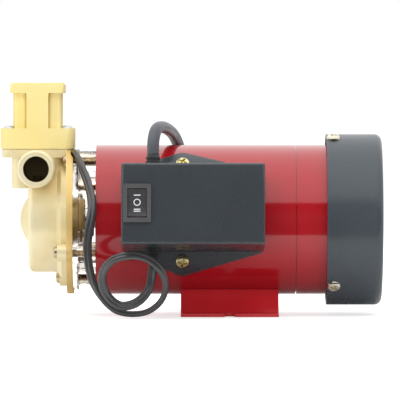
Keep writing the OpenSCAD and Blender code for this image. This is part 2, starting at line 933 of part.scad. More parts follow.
// Leg and flange of the bent sheet foot on one side, seen along the motor
module foot_leg(side) {
    ankle = foot_half - foot_toe;
    rotate([90, 0, 90]) linear_extrude(foot_len) polygon([
        [side * (saddle_half - foot_sheet), leg_top - foot_sheet],
        [side * saddle_half, leg_top],
        [side * (ankle + foot_sheet), foot_sheet],
        [side * foot_half, foot_sheet],
        [side * foot_half, 0],
        [side * ankle, 0]
    ]);
}

module foot() {
    color(red_tone) difference() {
        translate([-foot_len / 2, 0, 0]) union() {
            intersection() {
                translate([0, 0, axis_h]) rotate([0, 90, 0])
                    tube(foot_len, foot_saddle_r + foot_sheet, foot_saddle_r);
                translate([-cut, -saddle_half, 0])
                    cube([foot_len + 2 * cut, 2 * saddle_half, leg_top]);
            }
            for (side = [-1, 1]) foot_leg(side);
            translate([(foot_len - strap_w) / 2, foot_toe - foot_half - foot_sheet, 0])
                cube([strap_w, 2 * (foot_half - foot_toe + foot_sheet), foot_sheet]);
        }
        for (s = [-1, 1]) {
            translate([0, s * (foot_half - slot_reach + slot_w / 2), -cut])
                cylinder(h = foot_sheet + 2 * cut, r = slot_w / 2);
            translate([-slot_w / 2, s * foot_half - (1 + s) / 2 * (slot_reach - slot_w / 2)
                                    - (1 - s) / 2 * cut, -cut])
                cube([slot_w, slot_reach - slot_w / 2 + cut, foot_sheet + 2 * cut]);
        }
    }
}

// The saddle's outline as a solid: a band behind the box, a rounded tab above and below
module saddle_outline(h) {
    tip_r = tab_r * cos(saddle_screw_angle);
    translate([-saddle_w / 2, -saddle_half_h, 0]) cube([saddle_w, 2 * saddle_half_h, h]);
    for (s = [-1, 1]) {
        tip = [saddle_screw_x - box_x, s * saddle_r1 * sin(saddle_screw_angle)];
        right = [saddle_w / 2, s * saddle_half_h];
        left = [-saddle_w / 2, s * saddle_half_h];
        translate(tip) cylinder(h = h, r = tip_r);
        linear_extrude(h) polygon([tip, tangent_point(tip, tip_r, right, s), right,
                                   left, tangent_point(tip, tip_r, left, -s)]);
    }
}

// Where a line from a point outside a circle touches it, on the given side
function tangent_point(centre, r, from, side) =
    let (away = from - centre,
         reach = norm(away),
         turn = atan2(away[1], away[0]) + side * acos(r / reach))
    centre + r * [cos(turn), sin(turn)];

module saddle_plate() {
    color(dark_tone) difference() {
        intersection() {
            along_motor(box_x - saddle_w) tube(2 * saddle_w, saddle_r1, saddle_r0);
            in_box() saddle_outline(saddle_r1 + cut);
        }
        for (s = [-1, 1])
            out_of_motor(box_tilt + s * saddle_screw_angle, saddle_screw_x)
                cylinder(h = saddle_r1 + cut, r = saddle_shank_r + fit);
        for (x = [boss_left_x, boss_right_x]) in_box() translate([x, 0, 0]) {
            cylinder(h = saddle_r1 + cut, r = box_shank_r + fit);
            cylinder(h = saddle_r0 + box_head_h + fit, r = box_head_r + fit);
        }
    }
}

module saddle_screws() {
    color(screw_tone) for (s = [-1, 1])
        out_of_motor(box_tilt + s * saddle_screw_angle, saddle_screw_x) {
            translate([0, 0, saddle_r1]) pan_head(saddle_head_r, saddle_head_h);
            translate([0, 0, shell_in_r - 1])
                cylinder(h = saddle_r1 - shell_in_r + 1 + sink, r = saddle_shank_r);
        }
}

// Section of the box with rounded front corners and a square back, z from the motor axis
module box_side(w) {
    translate([-w / 2, 0]) square([w, box_reach - box_edge]);
    translate([-w / 2 + box_edge, 0]) square([w - 2 * box_edge, box_reach]);
    for (s = [-1, 1])
        translate([s * (w / 2 - box_edge), box_reach - box_edge]) circle(r = box_edge);
}

module control_box() {
    color(dark_tone) difference() {
        intersection() {
            in_box() linear_extrude(box_reach) rounded_plate(box_w, box_h, box_edge);
            in_box() translate([0, box_h / 2, 0]) rotate([90, 0, 0])
                linear_extrude(box_h) box_side(box_w);
            in_box() translate([-box_w / 2, 0, 0]) rotate([90, 0, 90])
                linear_extrude(box_w) box_side(box_h);
        }
        along_motor(box_x - box_w) cylinder(h = 2 * box_w, r = box_r0);
        difference() {
            in_box() translate([-box_w / 2 + box_wall, -box_h / 2 + box_wall, 0])
                cube([box_w - 2 * box_wall, box_h - 2 * box_wall, box_reach - box_front_t]);
            for (x = [boss_left_x, boss_right_x])
                in_box() translate([x, 0, 0]) cylinder(h = box_reach, r = boss_col_r);
        }
        for (x = [boss_left_x, boss_right_x]) in_box() translate([x, 0, 0])
            cylinder(h = box_r0 + boss_top, r = box_shank_r + fit / 2);
        in_box() translate([switch_x - body_w / 2 - fit, -body_h / 2 - fit, box_r0])
            cube([body_w + 2 * fit, body_h + 2 * fit, box_reach]);
        for (s = [-1, 1]) in_box() translate([bush_x, s * (box_h / 2 + cut), bush_z])
            rotate([s * 90, 0, 0]) cylinder(h = box_wall + 2 * cut, r = bush_r - bush_groove + fit);
    }
}

module box_screws() {
    color(screw_tone) for (x = [boss_left_x, boss_right_x]) in_box()
        translate([x, 0, saddle_r0 + air / 2]) {
            cylinder(h = box_head_h - air / 2, r = box_head_r);
            cylinder(h = box_head_h + boss_top - cut, r = box_shank_r);
        }
}

// Run capacitor lying on the saddle inside the box
module capacitor() {
    lie_r = saddle_r1 + cap_r + cap_lift;
    color(grey_tone) in_box()
        translate([cap_x, cap_y, sqrt(lie_r * lie_r - cap_y * cap_y)]) rotate([0, 90, 0]) {
            cylinder(h = cap_len, r = cap_r);
            translate([0, 0, -bezel_edge]) cylinder(h = cap_len, r = cap_r - bezel_edge);
        }
}

// Terminal strip under the roof of the box, with a screw hole for each wire
module terminal_block() {
    roof = box_h / 2 - box_wall - air / 2;
    color(yellow_tone) in_box() difference() {
        translate([block_x, roof - block_high, saddle_r1 + block_lift])
            cube([block_len, block_high, block_deep]);
        for (i = [0:terminals - 1])
            translate([block_x + block_len * (i + half) / terminals, roof - block_high / 2,
                       saddle_r1 + block_lift + block_deep / 2])
                cylinder(h = block_deep, r = terminal_r);
    }
}

// Snap-in frame of the rocker switch, open in front over the rocker
module rocker_frame() {
    open_w = rocker_w + 2 * rocker_air;
    open_h = 2 * (rocker_r + rocker_air);
    pivot_z = box_reach - pivot_drop;
    color(black_tone) in_box() translate([switch_x, 0, 0]) difference() {
        union() {
            translate([0, 0, box_reach + fit]) linear_extrude(bezel_t)
                rounded_plate(bezel_w, bezel_h, bezel_edge);
            translate([-body_w / 2, -body_h / 2, box_reach - body_deep])
                cube([body_w, body_h, body_deep + bezel_t / 2]);
        }
        translate([-open_w / 2, -open_h / 2, pivot_z - rocker_r])
            cube([open_w, open_h, rocker_r + pivot_drop + bezel_t + cut]);
        translate([-rocker_w / 2 - pin_reach - fit, 0, pivot_z]) rotate([0, 90, 0])
            cylinder(h = rocker_w + 2 * pin_reach + 2 * fit, r = pin_r + fit);
    }
}

// Rocker with a shallow dished face, on two stub pins
module rocker() {
    pivot_z = box_reach - pivot_drop;
    color(black_tone) in_box() translate([switch_x, 0, pivot_z]) {
        difference() {
            translate([-rocker_w / 2, 0, 0]) rotate([0, 90, 0])
                cylinder(h = rocker_w, r = rocker_r);
            translate([-rocker_w, 0, rocker_rise + rocker_dish_r]) rotate([0, 90, 0])
                cylinder(h = 2 * rocker_w, r = rocker_dish_r);
            translate([-rocker_w, -rocker_w, -2 * rocker_r])
                cube([2 * rocker_w, 2 * rocker_w, 2 * rocker_r - rocker_under]);
        }
        translate([-rocker_w / 2 - pin_reach, 0, 0]) rotate([0, 90, 0])
            cylinder(h = rocker_w + 2 * pin_reach, r = pin_r);
    }
}

// Bush section: inside stub, groove in the wall, ribs outside and a plain or tapered nose
module bush_section(cord_r, in_len, out_len) {
    tip_r = cord_r + 0.45;
    translate([0, -in_len]) square([bush_r, in_len - box_wall - fit]);
    translate([0, -in_len]) square([bush_r - bush_groove, in_len + bush_rib]);
    for (i = [0:1]) translate([0, fit + i * 2 * bush_rib]) square([bush_r, bush_rib]);
    polygon([
        [0, fit],
        [bush_r - bush_groove / 2, fit],
        [bush_r - bush_groove / 2, 3 * bush_rib],
        [tip_r, out_len],
        [0, out_len]
    ]);
}

module lead_bush() {
    color(black_tone) in_box() translate([bush_x, -box_h / 2, bush_z]) rotate([90, 0, 0])
        rotate_extrude() bush_section(lead_d / 2, lead_bush_in, lead_bush_len);
}

module mains_bush() {
    color(black_tone) in_box() translate([bush_x, box_h / 2, bush_z]) rotate([-90, 0, 0])
        rotate_extrude() bush_section(mains_d / 2 - 0.2, mains_bush_in, mains_bush_len);
}

// Plan of the tower: a cross of middle ribs with set-back corner columns
module tower_plan() {
    square([rib_w, switch_depth], center = true);
    square([tower_w, rib_w], center = true);
    core = tower_w - 2 * column_set_back - 2;
    square(core, center = true);
    for (sx = [-1, 1], sy = [-1, 1])
        translate([sx * (tower_w / 2 - column_w / 2),
                   sy * (switch_depth / 2 - column_set_back - column_w / 2)])
            rounded_plate(column_w, column_w, column_corner);
}

module switch_housing() {
    color(yellow_tone) difference() {
        union() {
            translate([head_x, 0, switch_z]) linear_extrude(switch_flange_h)
                rounded_plate(ear_w, switch_depth, seat_corner);
            translate([head_x, 0, tower_z - cut]) linear_extrude(tower_h + cut) tower_plan();
        }
        translate([head_x, piston_y, switch_z - cut])
            cylinder(h = guide_top + cut, r = guide_r);
        translate([head_x + reed_x, piston_y, lid_z - reed_len - air])
            cylinder(h = reed_len + cut, r = reed_r + air / 2);
        for (sx = [-1, 1], sy = [-1, 1]) translate([head_x + sx * ear_x, sy * ear_y, 0]) {
            translate([0, 0, switch_z - cut])
                cylinder(h = switch_flange_h + 2 * cut, r = ear_shank_r + fit);
            translate([0, 0, tower_z - ear_sink])
                cylinder(h = tower_h, r = ear_head_r + fit);
        }
    }
}

module switch_lid() {
    color(yellow_tone) translate([head_x, 0, lid_z]) {
        linear_extrude(lid_h - lid_corner / 2) rounded_plate(lid_w, switch_depth, lid_corner);
        linear_extrude(lid_h)
            rounded_plate(lid_w - lid_corner, switch_depth - lid_corner, lid_corner);
    }
}

module switch_gasket() {
    color(black_tone) translate([head_x, 0, seat_z]) linear_extrude(gasket_t) difference() {
        rounded_plate(ear_w - 2, switch_depth - 2, seat_corner);
        translate([0, piston_y]) circle(r = well_r);
        for (sx = [-1, 1], sy = [-1, 1])
            translate([sx * ear_x, sy * ear_y]) circle(r = ear_shank_r + air);
        translate([switch_exit[0] - head_x, switch_exit[1]]) circle(r = lead_d + air);
    }
}

// Magnet piston: a disc in the well, its stem in the housing's guide
module flow_piston() {
    color(black_tone) translate([head_x, piston_y, piston_z]) {
        cylinder(h = piston_t, r = piston_r);
        cylinder(h = stem_len, r = stem_r);
    }
}

module reed_switch() {
    color(clear_tone) translate([head_x + reed_x, piston_y, lid_z - reed_len]) {
        translate([0, 0, reed_r]) cylinder(h = reed_len - 2 * reed_r, r = reed_r);
        for (z = [reed_r, reed_len - reed_r]) translate([0, 0, z]) sphere(r = reed_r);
    }
}

module switch_screws() {
    color(steel_tone) for (sx = [-1, 1], sy = [-1, 1])
        translate([head_x + sx * ear_x, sy * ear_y, tower_z - ear_sink]) {
            pan_head(ear_head_r, ear_head_h);
            translate([0, 0, seat_z - seat_t - tower_z + ear_sink])
                cylinder(h = tower_z - ear_sink - seat_z + seat_t, r = ear_shank_r);
        }
}

// Places in the box's frame as places in the part's frame
function from_box(x, y, z) = [
    box_x + x,
    y * sin(box_tilt) - z * cos(box_tilt),
    axis_h + y * cos(box_tilt) + z * sin(box_tilt)
];

// Cord routes: where each leaves its bush, then points chosen along the photographed run
lead_exit = from_box(bush_x, -box_h / 2 - lead_bush_len, bush_z);
lead_turn = from_box(bush_x, -box_h / 2 - lead_bush_len - lead_d, bush_z);
mains_exit = from_box(bush_x, box_h / 2 + mains_bush_len, bush_z);
mains_turn = from_box(bush_x, box_h / 2 + mains_bush_len + mains_d, bush_z);
switch_exit = [-90.2, -2.5, switch_z];
groove_start = [-90.6, -1, 91.9];
groove_end = [-86.3, -26, 91.5];
switch_points = [
    [-90.1, -3.9, 92.6], [-89.6, -7, 91.8], [-88.6, -11.3, 91.7], [-87.9, -16.5, 91.8],
    [-86.9, -21.6, 91.6], [-85.6, -26.3, 89.3], [-83.8, -30, 85.2], [-82, -33, 81],
    [-80, -37, 75.5], [-78.3, -42, 69.5], [-77.4, -46.3, 63.5], [-77.8, -48.7, 57],
    [-79, -50, 50], [-80, -50, 41],
    [-79.5, -50, 31.5], [-77.5, -50, 22], [-74, -51, 14.5], [-69.5, -52, 8.5],
    [-63.5, -53.5, 4], [-55, -55, 2.5], [-46, -57, 4], [-39, -60, 9.5], [-36, -64, 17],
    [-37, -67, 24], [-41, -70, 30.5], [-46.5, -71.5, 34.5], [-52.5, -72, 36],
    [-59, -71, 35.5], [-65, -69, 33.5], [-69.5, -66, 29], [-71.5, -63, 23.5],
    [-70.5, -60, 16.5], [-67, -59, 11], [-62, -59.5, 7.5], [-57, -60.5, 7.5],
    [-52, -62, 9.5], [-47.5, -62.5, 13.5], [-45, -63, 18], [-44, -63, 23]
];
mains_points = [
    [-42.6, -52.8, 101.6], [-41.8, -49.4, 104.8], [-40.5, -44, 106.6], [-38.5, -35, 107],
    [-36.5, -22, 106.4], [-34.5, -8, 105], [-32.5, 6, 102.8], [-30.3, 18, 98.8],
    [-28.3, 28.5, 92.5], [-26.5, 37.5, 84], [-25, 44, 73], [-24.5, 48, 60],
    [-24.5, 48.5, 46], [-24.5, 48.5, 33], [-24.5, 50, 20], [-24.5, 53.5, 12], [-24.5, 58.5, 6.6],
    [-24.5, 65, hank_z]
];
// Heights here are above the end of the hank
tail_points = [
    [24.5, 66.5, 0], [21.8, 56.6, 0.2], [14.3, 49.2, 0.2], [4, 46.4, 0.2], [-6, 49.2, 0.2],
    [-13.6, 56.6, 0.2], [-16.3, 66.5, 0.2], [-16.4, 75.5, 0.4], [-15.5, 85, 1], [-12.3, 96, 2.4], [-7.3, 107, 4.5], [-2.6, 117.5, 6.5]
];

hank_start = hank_place(0) - [0, mains_d, 0];
hank_end = hank_place(hank_turns + 3 / 4) - [0, mains_d, 0];
plug_z = hank_end[2] + 8.6;
plug_entry_y = hank_y + hank_run / 2 + tie_w;
switch_path = concat([switch_exit], switch_points, [lead_turn, lead_exit]);
mains_path = concat([mains_exit, mains_turn], mains_points, [hank_start]);
tail_path = concat([hank_end], [for (p = tail_points) [p[0], p[1], p[2] + hank_end[2]]],
    [[plug_x, plug_entry_y - 2 * mains_d, plug_z], [plug_x, plug_entry_y, plug_z]]);

function unit(v) = v / norm(v);
function square_to(v, d) = unit(v - d * (v * d));

// Tube along a path: rings square to it, joined by triangles and closed at both ends
module cord(path, r, sides) {
    n = len(path);
    ways = [for (i = [0:n - 1]) unit(path[min(i + 1, n - 1)] - path[max(i - 1, 0)])];
    start = square_to([ways[0][1], ways[0][2], ways[0][0]], ways[0]);
    across = [for (i = 0, v = start; i < n;
                   v = square_to(v, ways[min(i + 1, n - 1)]), i = i + 1) v];
    rings = [for (i = [0:n - 1], k = [0:sides - 1])
        path[i] + r * (cos(k * 360 / sides) * across[i]
                       + sin(k * 360 / sides) * cross(ways[i], across[i]))];
    walls = [for (i = [0:n - 2], k = [0:sides - 1])
        let (a = i * sides + k, b = i * sides + (k + 1) % sides)
        each [[a, a + sides, b], [b, a + sides, b + sides]]];
    near_end = [for (k = [1:sides - 2]) [0, k, k + 1]];
    far_end = [for (k = [1:sides - 2]) let (z = (n - 1) * sides) [z, z + k + 1, z + k]];
    polyhedron(rings, concat(walls, near_end, far_end));
}

module switch_lead() {
    color(dark_tone) cord(switch_path, lead_d / 2, 8);
}

module mains_lead() {
    color(dark_tone) cord(mains_path, mains_d / 2, 8);
}

module plug_lead() {
    color(dark_tone) cord(tail_path, mains_d / 2, 8);
}

// Half width of the hank along a run: full at the folds, drawn in either side of the tie
function hank_half(share) =
    let (near = min(share, 1 - share) / waist_share)
    near >= 1 ? hank_waist
    : hank_waist + (hank_fold - hank_waist) * (1 + cos(180 * near)) / 2;

// A place on the hank: whole turns plus a quarter each for run, fold, run and fold
function hank_place(turn) =
    let (whole = floor(turn), part = (turn - whole) * 4, leg = floor(part),
         share = part - leg, z = hank_z + whole * hank_pitch)
    leg == 0 ? [-hank_half(share), hank_y + share * hank_run, z]
    : leg == 1 ? [-hank_fold * cos(180 * share),
                  hank_y + hank_run + hank_fold * sin(180 * share), z]
    : leg == 2 ? [hank_half(share), hank_y + (1 - share) * hank_run,
                  z + hank_pitch * (1 - cos(180 * share)) / 2]
    : [hank_fold * cos(180 * share), hank_y - hank_fold * sin(180 * share), z + hank_pitch];

hank_path = [for (t = [0:hank_turns], leg = [0:3])
    if (t < hank_turns || leg < 3)
        let (rings = leg % 2 == 0 ? run_rings : fold_rings)
        for (i = [0:rings - 1]) hank_place(t + (leg + i / rings) / 4)];
hank_route = concat([hank_start], hank_path, [hank_place(hank_turns + 3 / 4), hank_end]);
hank_gap = min([for (i = [0:len(hank_route) - 1], j = [i + 6:len(hank_route) - 1])
    norm(hank_route[i] - hank_route[j])]) - mains_d;
echo("Least gap of the mains hank to itself, mm", hank_gap);

module mains_hank() {
    color(dark_tone) cord(hank_route, mains_d / 2, 6);
}

// Strap round the drawn-in middle of the hank
module hank_tie() {
    strands = hank_turns + 1;
    wide = 2 * (hank_waist + mains_d / 2 + tie_gap);
    low = hank_lift - tie_gap;
    high = hank_z + (strands - 1) * hank_pitch + hank_pitch / 2 + mains_d / 2 + 3 * tie_gap;
    color(black_tone) translate([0, hank_y + hank_run / 2 + tie_w / 2, 0]) rotate([90, 0, 0])
        linear_extrude(tie_w) difference() {
            translate([-wide / 2 - tie_t, low - tie_t])
                square([wide + 2 * tie_t, high - low + 2 * tie_t]);
            translate([-wide / 2, low]) square([wide, high - low]);
        }
}

// Round moulded plug, its neck toward the cord
module plug_body() {
    color(black_tone) translate([plug_x, plug_entry_y, plug_z]) rotate([-90, 0, 0])
        rotate_extrude() polygon([
            [0, 0],
            [plug_neck_r, 0],
            [plug_neck_r + 1, plug_len - plug_face_len - plug_slope],
            [plug_r - 2, plug_len - plug_face_len],
            [plug_r, plug_len - plug_face_len + 2],
            [plug_r, plug_len],
            [0, plug_len]
        ]);
}

module plug_pins() {
    color(steel_tone) for (s = [-1, 1])
        translate([plug_x + s * pin_gap / 2, plug_entry_y + plug_len, plug_z])
            rotate([-90, 0, 0]) {
                cylinder(h = pin_len - plug_pin_r, r = plug_pin_r);
                translate([0, 0, pin_len - plug_pin_r]) sphere(r = plug_pin_r);
            }
}

pump_casing();
casing_cover();
casing_ring();
impeller();
impeller_nut();
shaft_seal();
casing_screws();
lantern();
water_slinger();
motor_shell();
front_shield();
rear_shell();
front_bearing();
rear_bearing();
stator_core();
windings();
rotor();
motor_shaft();
cooling_fan();
fan_cover();
fan_cover_screws();
foot();
saddle_plate();
saddle_screws();
control_box();
box_screws();
capacitor();
terminal_block();
rocker_frame();
rocker();
lead_bush();
mains_bush();
switch_housing();
switch_lid();
switch_gasket();
flow_piston();
reed_switch();
switch_screws();
switch_lead();
mains_lead();
mains_hank();
plug_lead();
hank_tie();
plug_body();
plug_pins();
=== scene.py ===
from math import sin, cos, pi, radians, sqrt, atan2, floor
import bpy
from mathutils import Vector, Matrix


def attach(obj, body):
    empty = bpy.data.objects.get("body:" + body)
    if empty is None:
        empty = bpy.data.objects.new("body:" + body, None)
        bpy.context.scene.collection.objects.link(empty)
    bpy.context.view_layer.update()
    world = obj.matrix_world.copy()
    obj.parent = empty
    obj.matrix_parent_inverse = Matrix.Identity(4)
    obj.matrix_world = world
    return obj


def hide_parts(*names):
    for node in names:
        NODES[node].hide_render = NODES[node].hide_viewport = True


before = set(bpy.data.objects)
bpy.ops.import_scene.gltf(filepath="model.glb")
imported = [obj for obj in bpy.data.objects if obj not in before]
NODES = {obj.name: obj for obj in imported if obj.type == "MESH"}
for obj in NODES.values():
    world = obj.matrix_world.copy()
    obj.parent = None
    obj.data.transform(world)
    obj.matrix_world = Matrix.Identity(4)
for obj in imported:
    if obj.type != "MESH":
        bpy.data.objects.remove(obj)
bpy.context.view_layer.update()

ROOT = "pump"
MM = 0.001

# Sizes and places that pieces here share with the CAD part, in millimetres
AXIS_H = 53.9
HEAD_X, SPOUT_Z = -109.0, 83.4
BOX_X, BOX_REACH, BOX_H = -20.6, 82.5, 45.4
BOX_TILT = radians(8)
BUSH_X, BUSH_L = -22.4, 60.0
BUSH_COLLAR_R, BUSH_NECK_R = 4.2, 3.3
LEAD_BUSH_OUT, MAINS_BUSH_OUT = 6.0, 6.5
SWITCH_L, PIVOT_L = -31.1, BOX_REACH - 0.6
ROCKER_STAND, ROCKER_DISH_R = 1.2, 26.0
MAINS_D = 6.8
PLUG_R, PLUG_LEN = 18.0, 40.0

# The spouts' bore, the depth over which painted shade darkens it, and the pipe thread and the
# flange, from the spouts' axis and the motor's plane
BORE_R, SPOUT_END_Y, BORE_SHADE_DEPTH = 7.8, 43.5, 4.0
THREAD_PITCH, THREAD_RELIEF = 1.814, 0.9
THREAD_FROM_Y, THREAD_TO_Y = 24.5, 43.2
THREAD_IN_R, THREAD_OUT_R = 9.5, 10.7
RIM_X = 16.8

# Seats of the screws, in millimetres and degrees
COVER_SCREW_X, COVER_R = 58.8, 48.6
SADDLE_SCREW_X, SADDLE_OUT_R = -26.6, 44.6
BOLT_R, BOLT_ANGLE, BOLT_END_X = 38.0, -27.6, -69.2
BOSS_SEAT_X, FLANGE_SEAT_X = -97.4, -92.4
EAR_X, EAR_Y, EAR_TOP_Z = 16.2, 10.5, 105.4

# The flat twin lead, for which the CAD part has a round one of like area
LEAD_WIDE, LEAD_THICK = 5.2, 3.2


def mm(x, y, z):
    """A place given in millimetres, in metres."""
    return Vector((x, y, z)) * MM


def srgb(r, g, b):
    """A colour given as on a screen, 0 to 255, as Blender's linear colour."""
    def channel(v):
        v /= 255
        return v / 12.92 if v <= 0.04045 else ((v + 0.055) / 1.055) ** 2.4
    return (channel(r), channel(g), channel(b), 1.0)


def from_box(x, y, z):
    """A place in the control box's frame: z away from the motor axis, y up along its front."""
    return Vector((BOX_X + x, y * sin(BOX_TILT) - z * cos(BOX_TILT),
                   AXIS_H + y * cos(BOX_TILT) + z * sin(BOX_TILT)))


BOX_OUT = Vector((0, -cos(BOX_TILT), sin(BOX_TILT)))
BOX_UP = Vector((0, sin(BOX_TILT), cos(BOX_TILT)))


def add_object(name, data):
    made = bpy.data.objects.new(name, data)
    bpy.context.scene.collection.objects.link(made)
    return made


# Camera: the photo's, worked out from the spout's end, the box's underside and the foot

SENSOR_MM = 36
PHOTO_PIXELS, FOCAL_PIXELS = 400, 5438.6
CAMERA_AWAY, CAMERA_TILT = 3.1, radians(1.5)
CAMERA_AIM = mm(-16.8, 0, 65.0)


def set_camera():
    data = bpy.data.cameras.new("camera")
    data.sensor_width = SENSOR_MM
    data.lens = SENSOR_MM * FOCAL_PIXELS / PHOTO_PIXELS
    data.clip_end = 100
    cam = add_object("camera", data)
    away = Vector((0, -cos(CAMERA_TILT), sin(CAMERA_TILT)))
    cam.location = CAMERA_AIM + CAMERA_AWAY * away
    cam.rotation_euler = (pi / 2 - CAMERA_TILT, 0, 0)
    bpy.context.scene.camera = cam


# Mesh helpers

def circle(steps):
    """Cosine and sine at each step round a circle."""
    return [(cos(2 * pi * k / steps), sin(2 * pi * k / steps)) for k in range(steps)]


def side_faces(levels, steps, base=0, flip=False):
    """Quads between rings of points that follow each other in a list."""
    faces = []
    for i in range(levels - 1):
        for k in range(steps):
            a, b = base + i * steps + k, base + i * steps + (k + 1) % steps
            faces.append((a, b, b + steps, a + steps) if flip else (a, a + steps, b + steps, b))
    return faces


def mesh_piece(name, verts, faces, smooth=True):
    mesh = bpy.data.meshes.new(name)
    mesh.from_pydata([tuple(v) for v in verts], [], faces)
    mesh.validate()
    mesh.update()
    if smooth:
        mesh.shade_smooth()
    return add_object(name, mesh)


def finish_piece(piece, material, body=ROOT, replaces=()):
    """Give a piece its finish and its body, and hide the CAD nodes that it stands for."""
    piece.data.materials.append(material)
    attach(piece, body)
    if replaces:
        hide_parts(*replaces)
    return piece


def set_smooth_by_angle(piece, degrees=35):
    """Smooth shading with creases kept where faces meet sharply."""
    mesh = piece.data
    mesh.shade_smooth()
    mesh.set_sharp_from_angle(angle=radians(degrees))


def smooth_route(points, parts=4):
    """Points on a curve through the given ones."""
    pts = [Vector(p) for p in points]
    out = []
    for i in range(len(pts) - 1):
        before = pts[i - 1] if i else pts[0] * 2 - pts[1]
        a, b = pts[i], pts[i + 1]
        after = pts[i + 2] if i + 2 < len(pts) else b * 2 - a
        ta = (b - before) / ((b - a).length + (a - before).length) * (b - a).length
        tb = (after - a) / ((after - b).length + (b - a).length) * (b - a).length
        for k in range(parts):
            t = k / parts
            out.append(a * (2 * t**3 - 3 * t**2 + 1) + ta * (t**3 - 2 * t**2 + t)
                       + b * (3 * t**2 - 2 * t**3) + tb * (t**3 - t**2))
    return out + [pts[-1]]


def route_ways(points):
    """The way that a route runs at each of its points."""
    last = len(points) - 1
    return [(points[min(i + 1, last)] - points[max(i - 1, 0)]).normalized()
            for i in range(last + 1)]


def swept_tube(name, points, section, turns=None):
    """A tube of any section along a route. turns gives the section's roll at each point."""
    ways = route_ways(points)
    side = ways[0].orthogonal().normalized()
    verts = []
    for i, (place, way) in enumerate(zip(points, ways)):
        side = (side - way * side.dot(way)).normalized()
        over = way.cross(side)
        roll = turns[i] if turns else 0
        for u, v in section:
            a = u * cos(roll) - v * sin(roll)
            b = u * sin(roll) + v * cos(roll)
            verts.append(place + side * a + over * b)
    levels, steps = len(points), len(section)
    faces = side_faces(levels, steps, flip=True)
    faces.append(tuple(range(steps - 1, -1, -1)))
    faces.append(tuple((levels - 1) * steps + k for k in range(steps)))
    return mesh_piece(name, verts, faces)


def turned(name, outline, start, way, steps=64):
    """A body of revolution: outline holds (distance along the axis, radius), in metres."""
    way = Vector(way).normalized()
    side = way.orthogonal().normalized()
    over = way.cross(side)
    verts = [Vector(start) + way * z + (side * c + over * s) * r
             for z, r in outline for c, s in circle(steps)]
    levels = len(outline)
    faces = side_faces(levels, steps)
    faces.append(tuple(range(steps)))
    faces.append(tuple((levels - 1) * steps + k for k in range(steps - 1, -1, -1)))
    return mesh_piece(name, verts, faces)


# Cords: the routes are those of the CAD part, smoothed, in millimetres

HANK_Y, HANK_RUN, HANK_FOLD, HANK_WAIST = 78.0, 104.0, 24.5, 4.3
HANK_EASE_SHARE, HANK_TURNS = 0.4, 2.75
HANK_PITCH = MAINS_D + 0.5
HANK_Z = MAINS_D / 2 + 1.3
PLUG_RISE, PLUG_PAST_TIE = 8.6, 8.0
LEAD_STRAIGHT = 3.8


def hank_half(share):
    """Half the hank's width along a leg, eased from a fold down to the tied waist."""
    near = min(share, 1 - share) / HANK_EASE_SHARE
    if near >= 1:
        return HANK_WAIST
    return HANK_WAIST + (HANK_FOLD - HANK_WAIST) * (1 + cos(pi * near)) / 2


def hank_place(turn):
    """A place on the hank: out along one leg, round the far fold, back, round the near fold."""
    whole = floor(turn)
    part = (turn - whole) * 4
    leg = floor(part)
    share = part - leg
    z = HANK_Z + whole * HANK_PITCH
    if leg == 0:
        return Vector((-hank_half(share), HANK_Y + share * HANK_RUN, z))
    if leg == 1:
        return Vector((-HANK_FOLD * cos(pi * share),
                       HANK_Y + HANK_RUN + HANK_FOLD * sin(pi * share), z))
    if leg == 2:
        return Vector((hank_half(share), HANK_Y + (1 - share) * HANK_RUN,
                       z + HANK_PITCH * (1 - cos(pi * share)) / 2))
    return Vector((HANK_FOLD * cos(pi * share), HANK_Y - HANK_FOLD * sin(pi * share),
                   z + HANK_PITCH))


# Each end of the hank runs straight for a cord's thickness
HANK_START = hank_place(0) - Vector((0, MAINS_D, 0))
HANK_END = hank_place(HANK_TURNS) - Vector((0, MAINS_D, 0))
PLUG_Z = HANK_END.z + PLUG_RISE
PLUG_ENTRY_Y = HANK_Y + HANK_RUN / 2 + PLUG_PAST_TIE
MAINS_EXIT = from_box(BUSH_X, BOX_H / 2 + MAINS_BUSH_OUT, BUSH_L)
MAINS_TURN = from_box(BUSH_X, BOX_H / 2 + MAINS_BUSH_OUT + MAINS_D, BUSH_L)
MAINS_POINTS = [
    (-42.6, -52.8, 101.6), (-41.8, -49.4, 104.8), (-40.5, -44, 106.6), (-38.5, -35, 107),
    (-36.5, -22, 106.4), (-34.5, -8, 105), (-32.5, 6, 102.8), (-30.3, 18, 98.8),
    (-28.3, 28.5, 92.5), (-26.5, 37.5, 84), (-25, 44, 73), (-24.5, 48, 60),
    (-24.5, 48.5, 46), (-24.5, 48.5, 33), (-24.5, 50, 20), (-24.5, 53.5, 12), (-24.5, 58.5, 6.6),
    (-24.5, 65, 4.7)]
# From the hank to the plug, z above the hank's end
TAIL_POINTS = [
    (24.5, 66.5, 0), (21.8, 56.6, 0.2), (14.3, 49.2, 0.2), (4, 46.4, 0.2), (-6, 49.2, 0.2),
    (-13.6, 56.6, 0.2), (-16.3, 66.5, 0.2), (-16.4, 75.5, 0.4), (-15.5, 85, 1),
    (-12.3, 96, 2.4), (-7.3, 107, 4.5), (-2.6, 117.5, 6.5)]

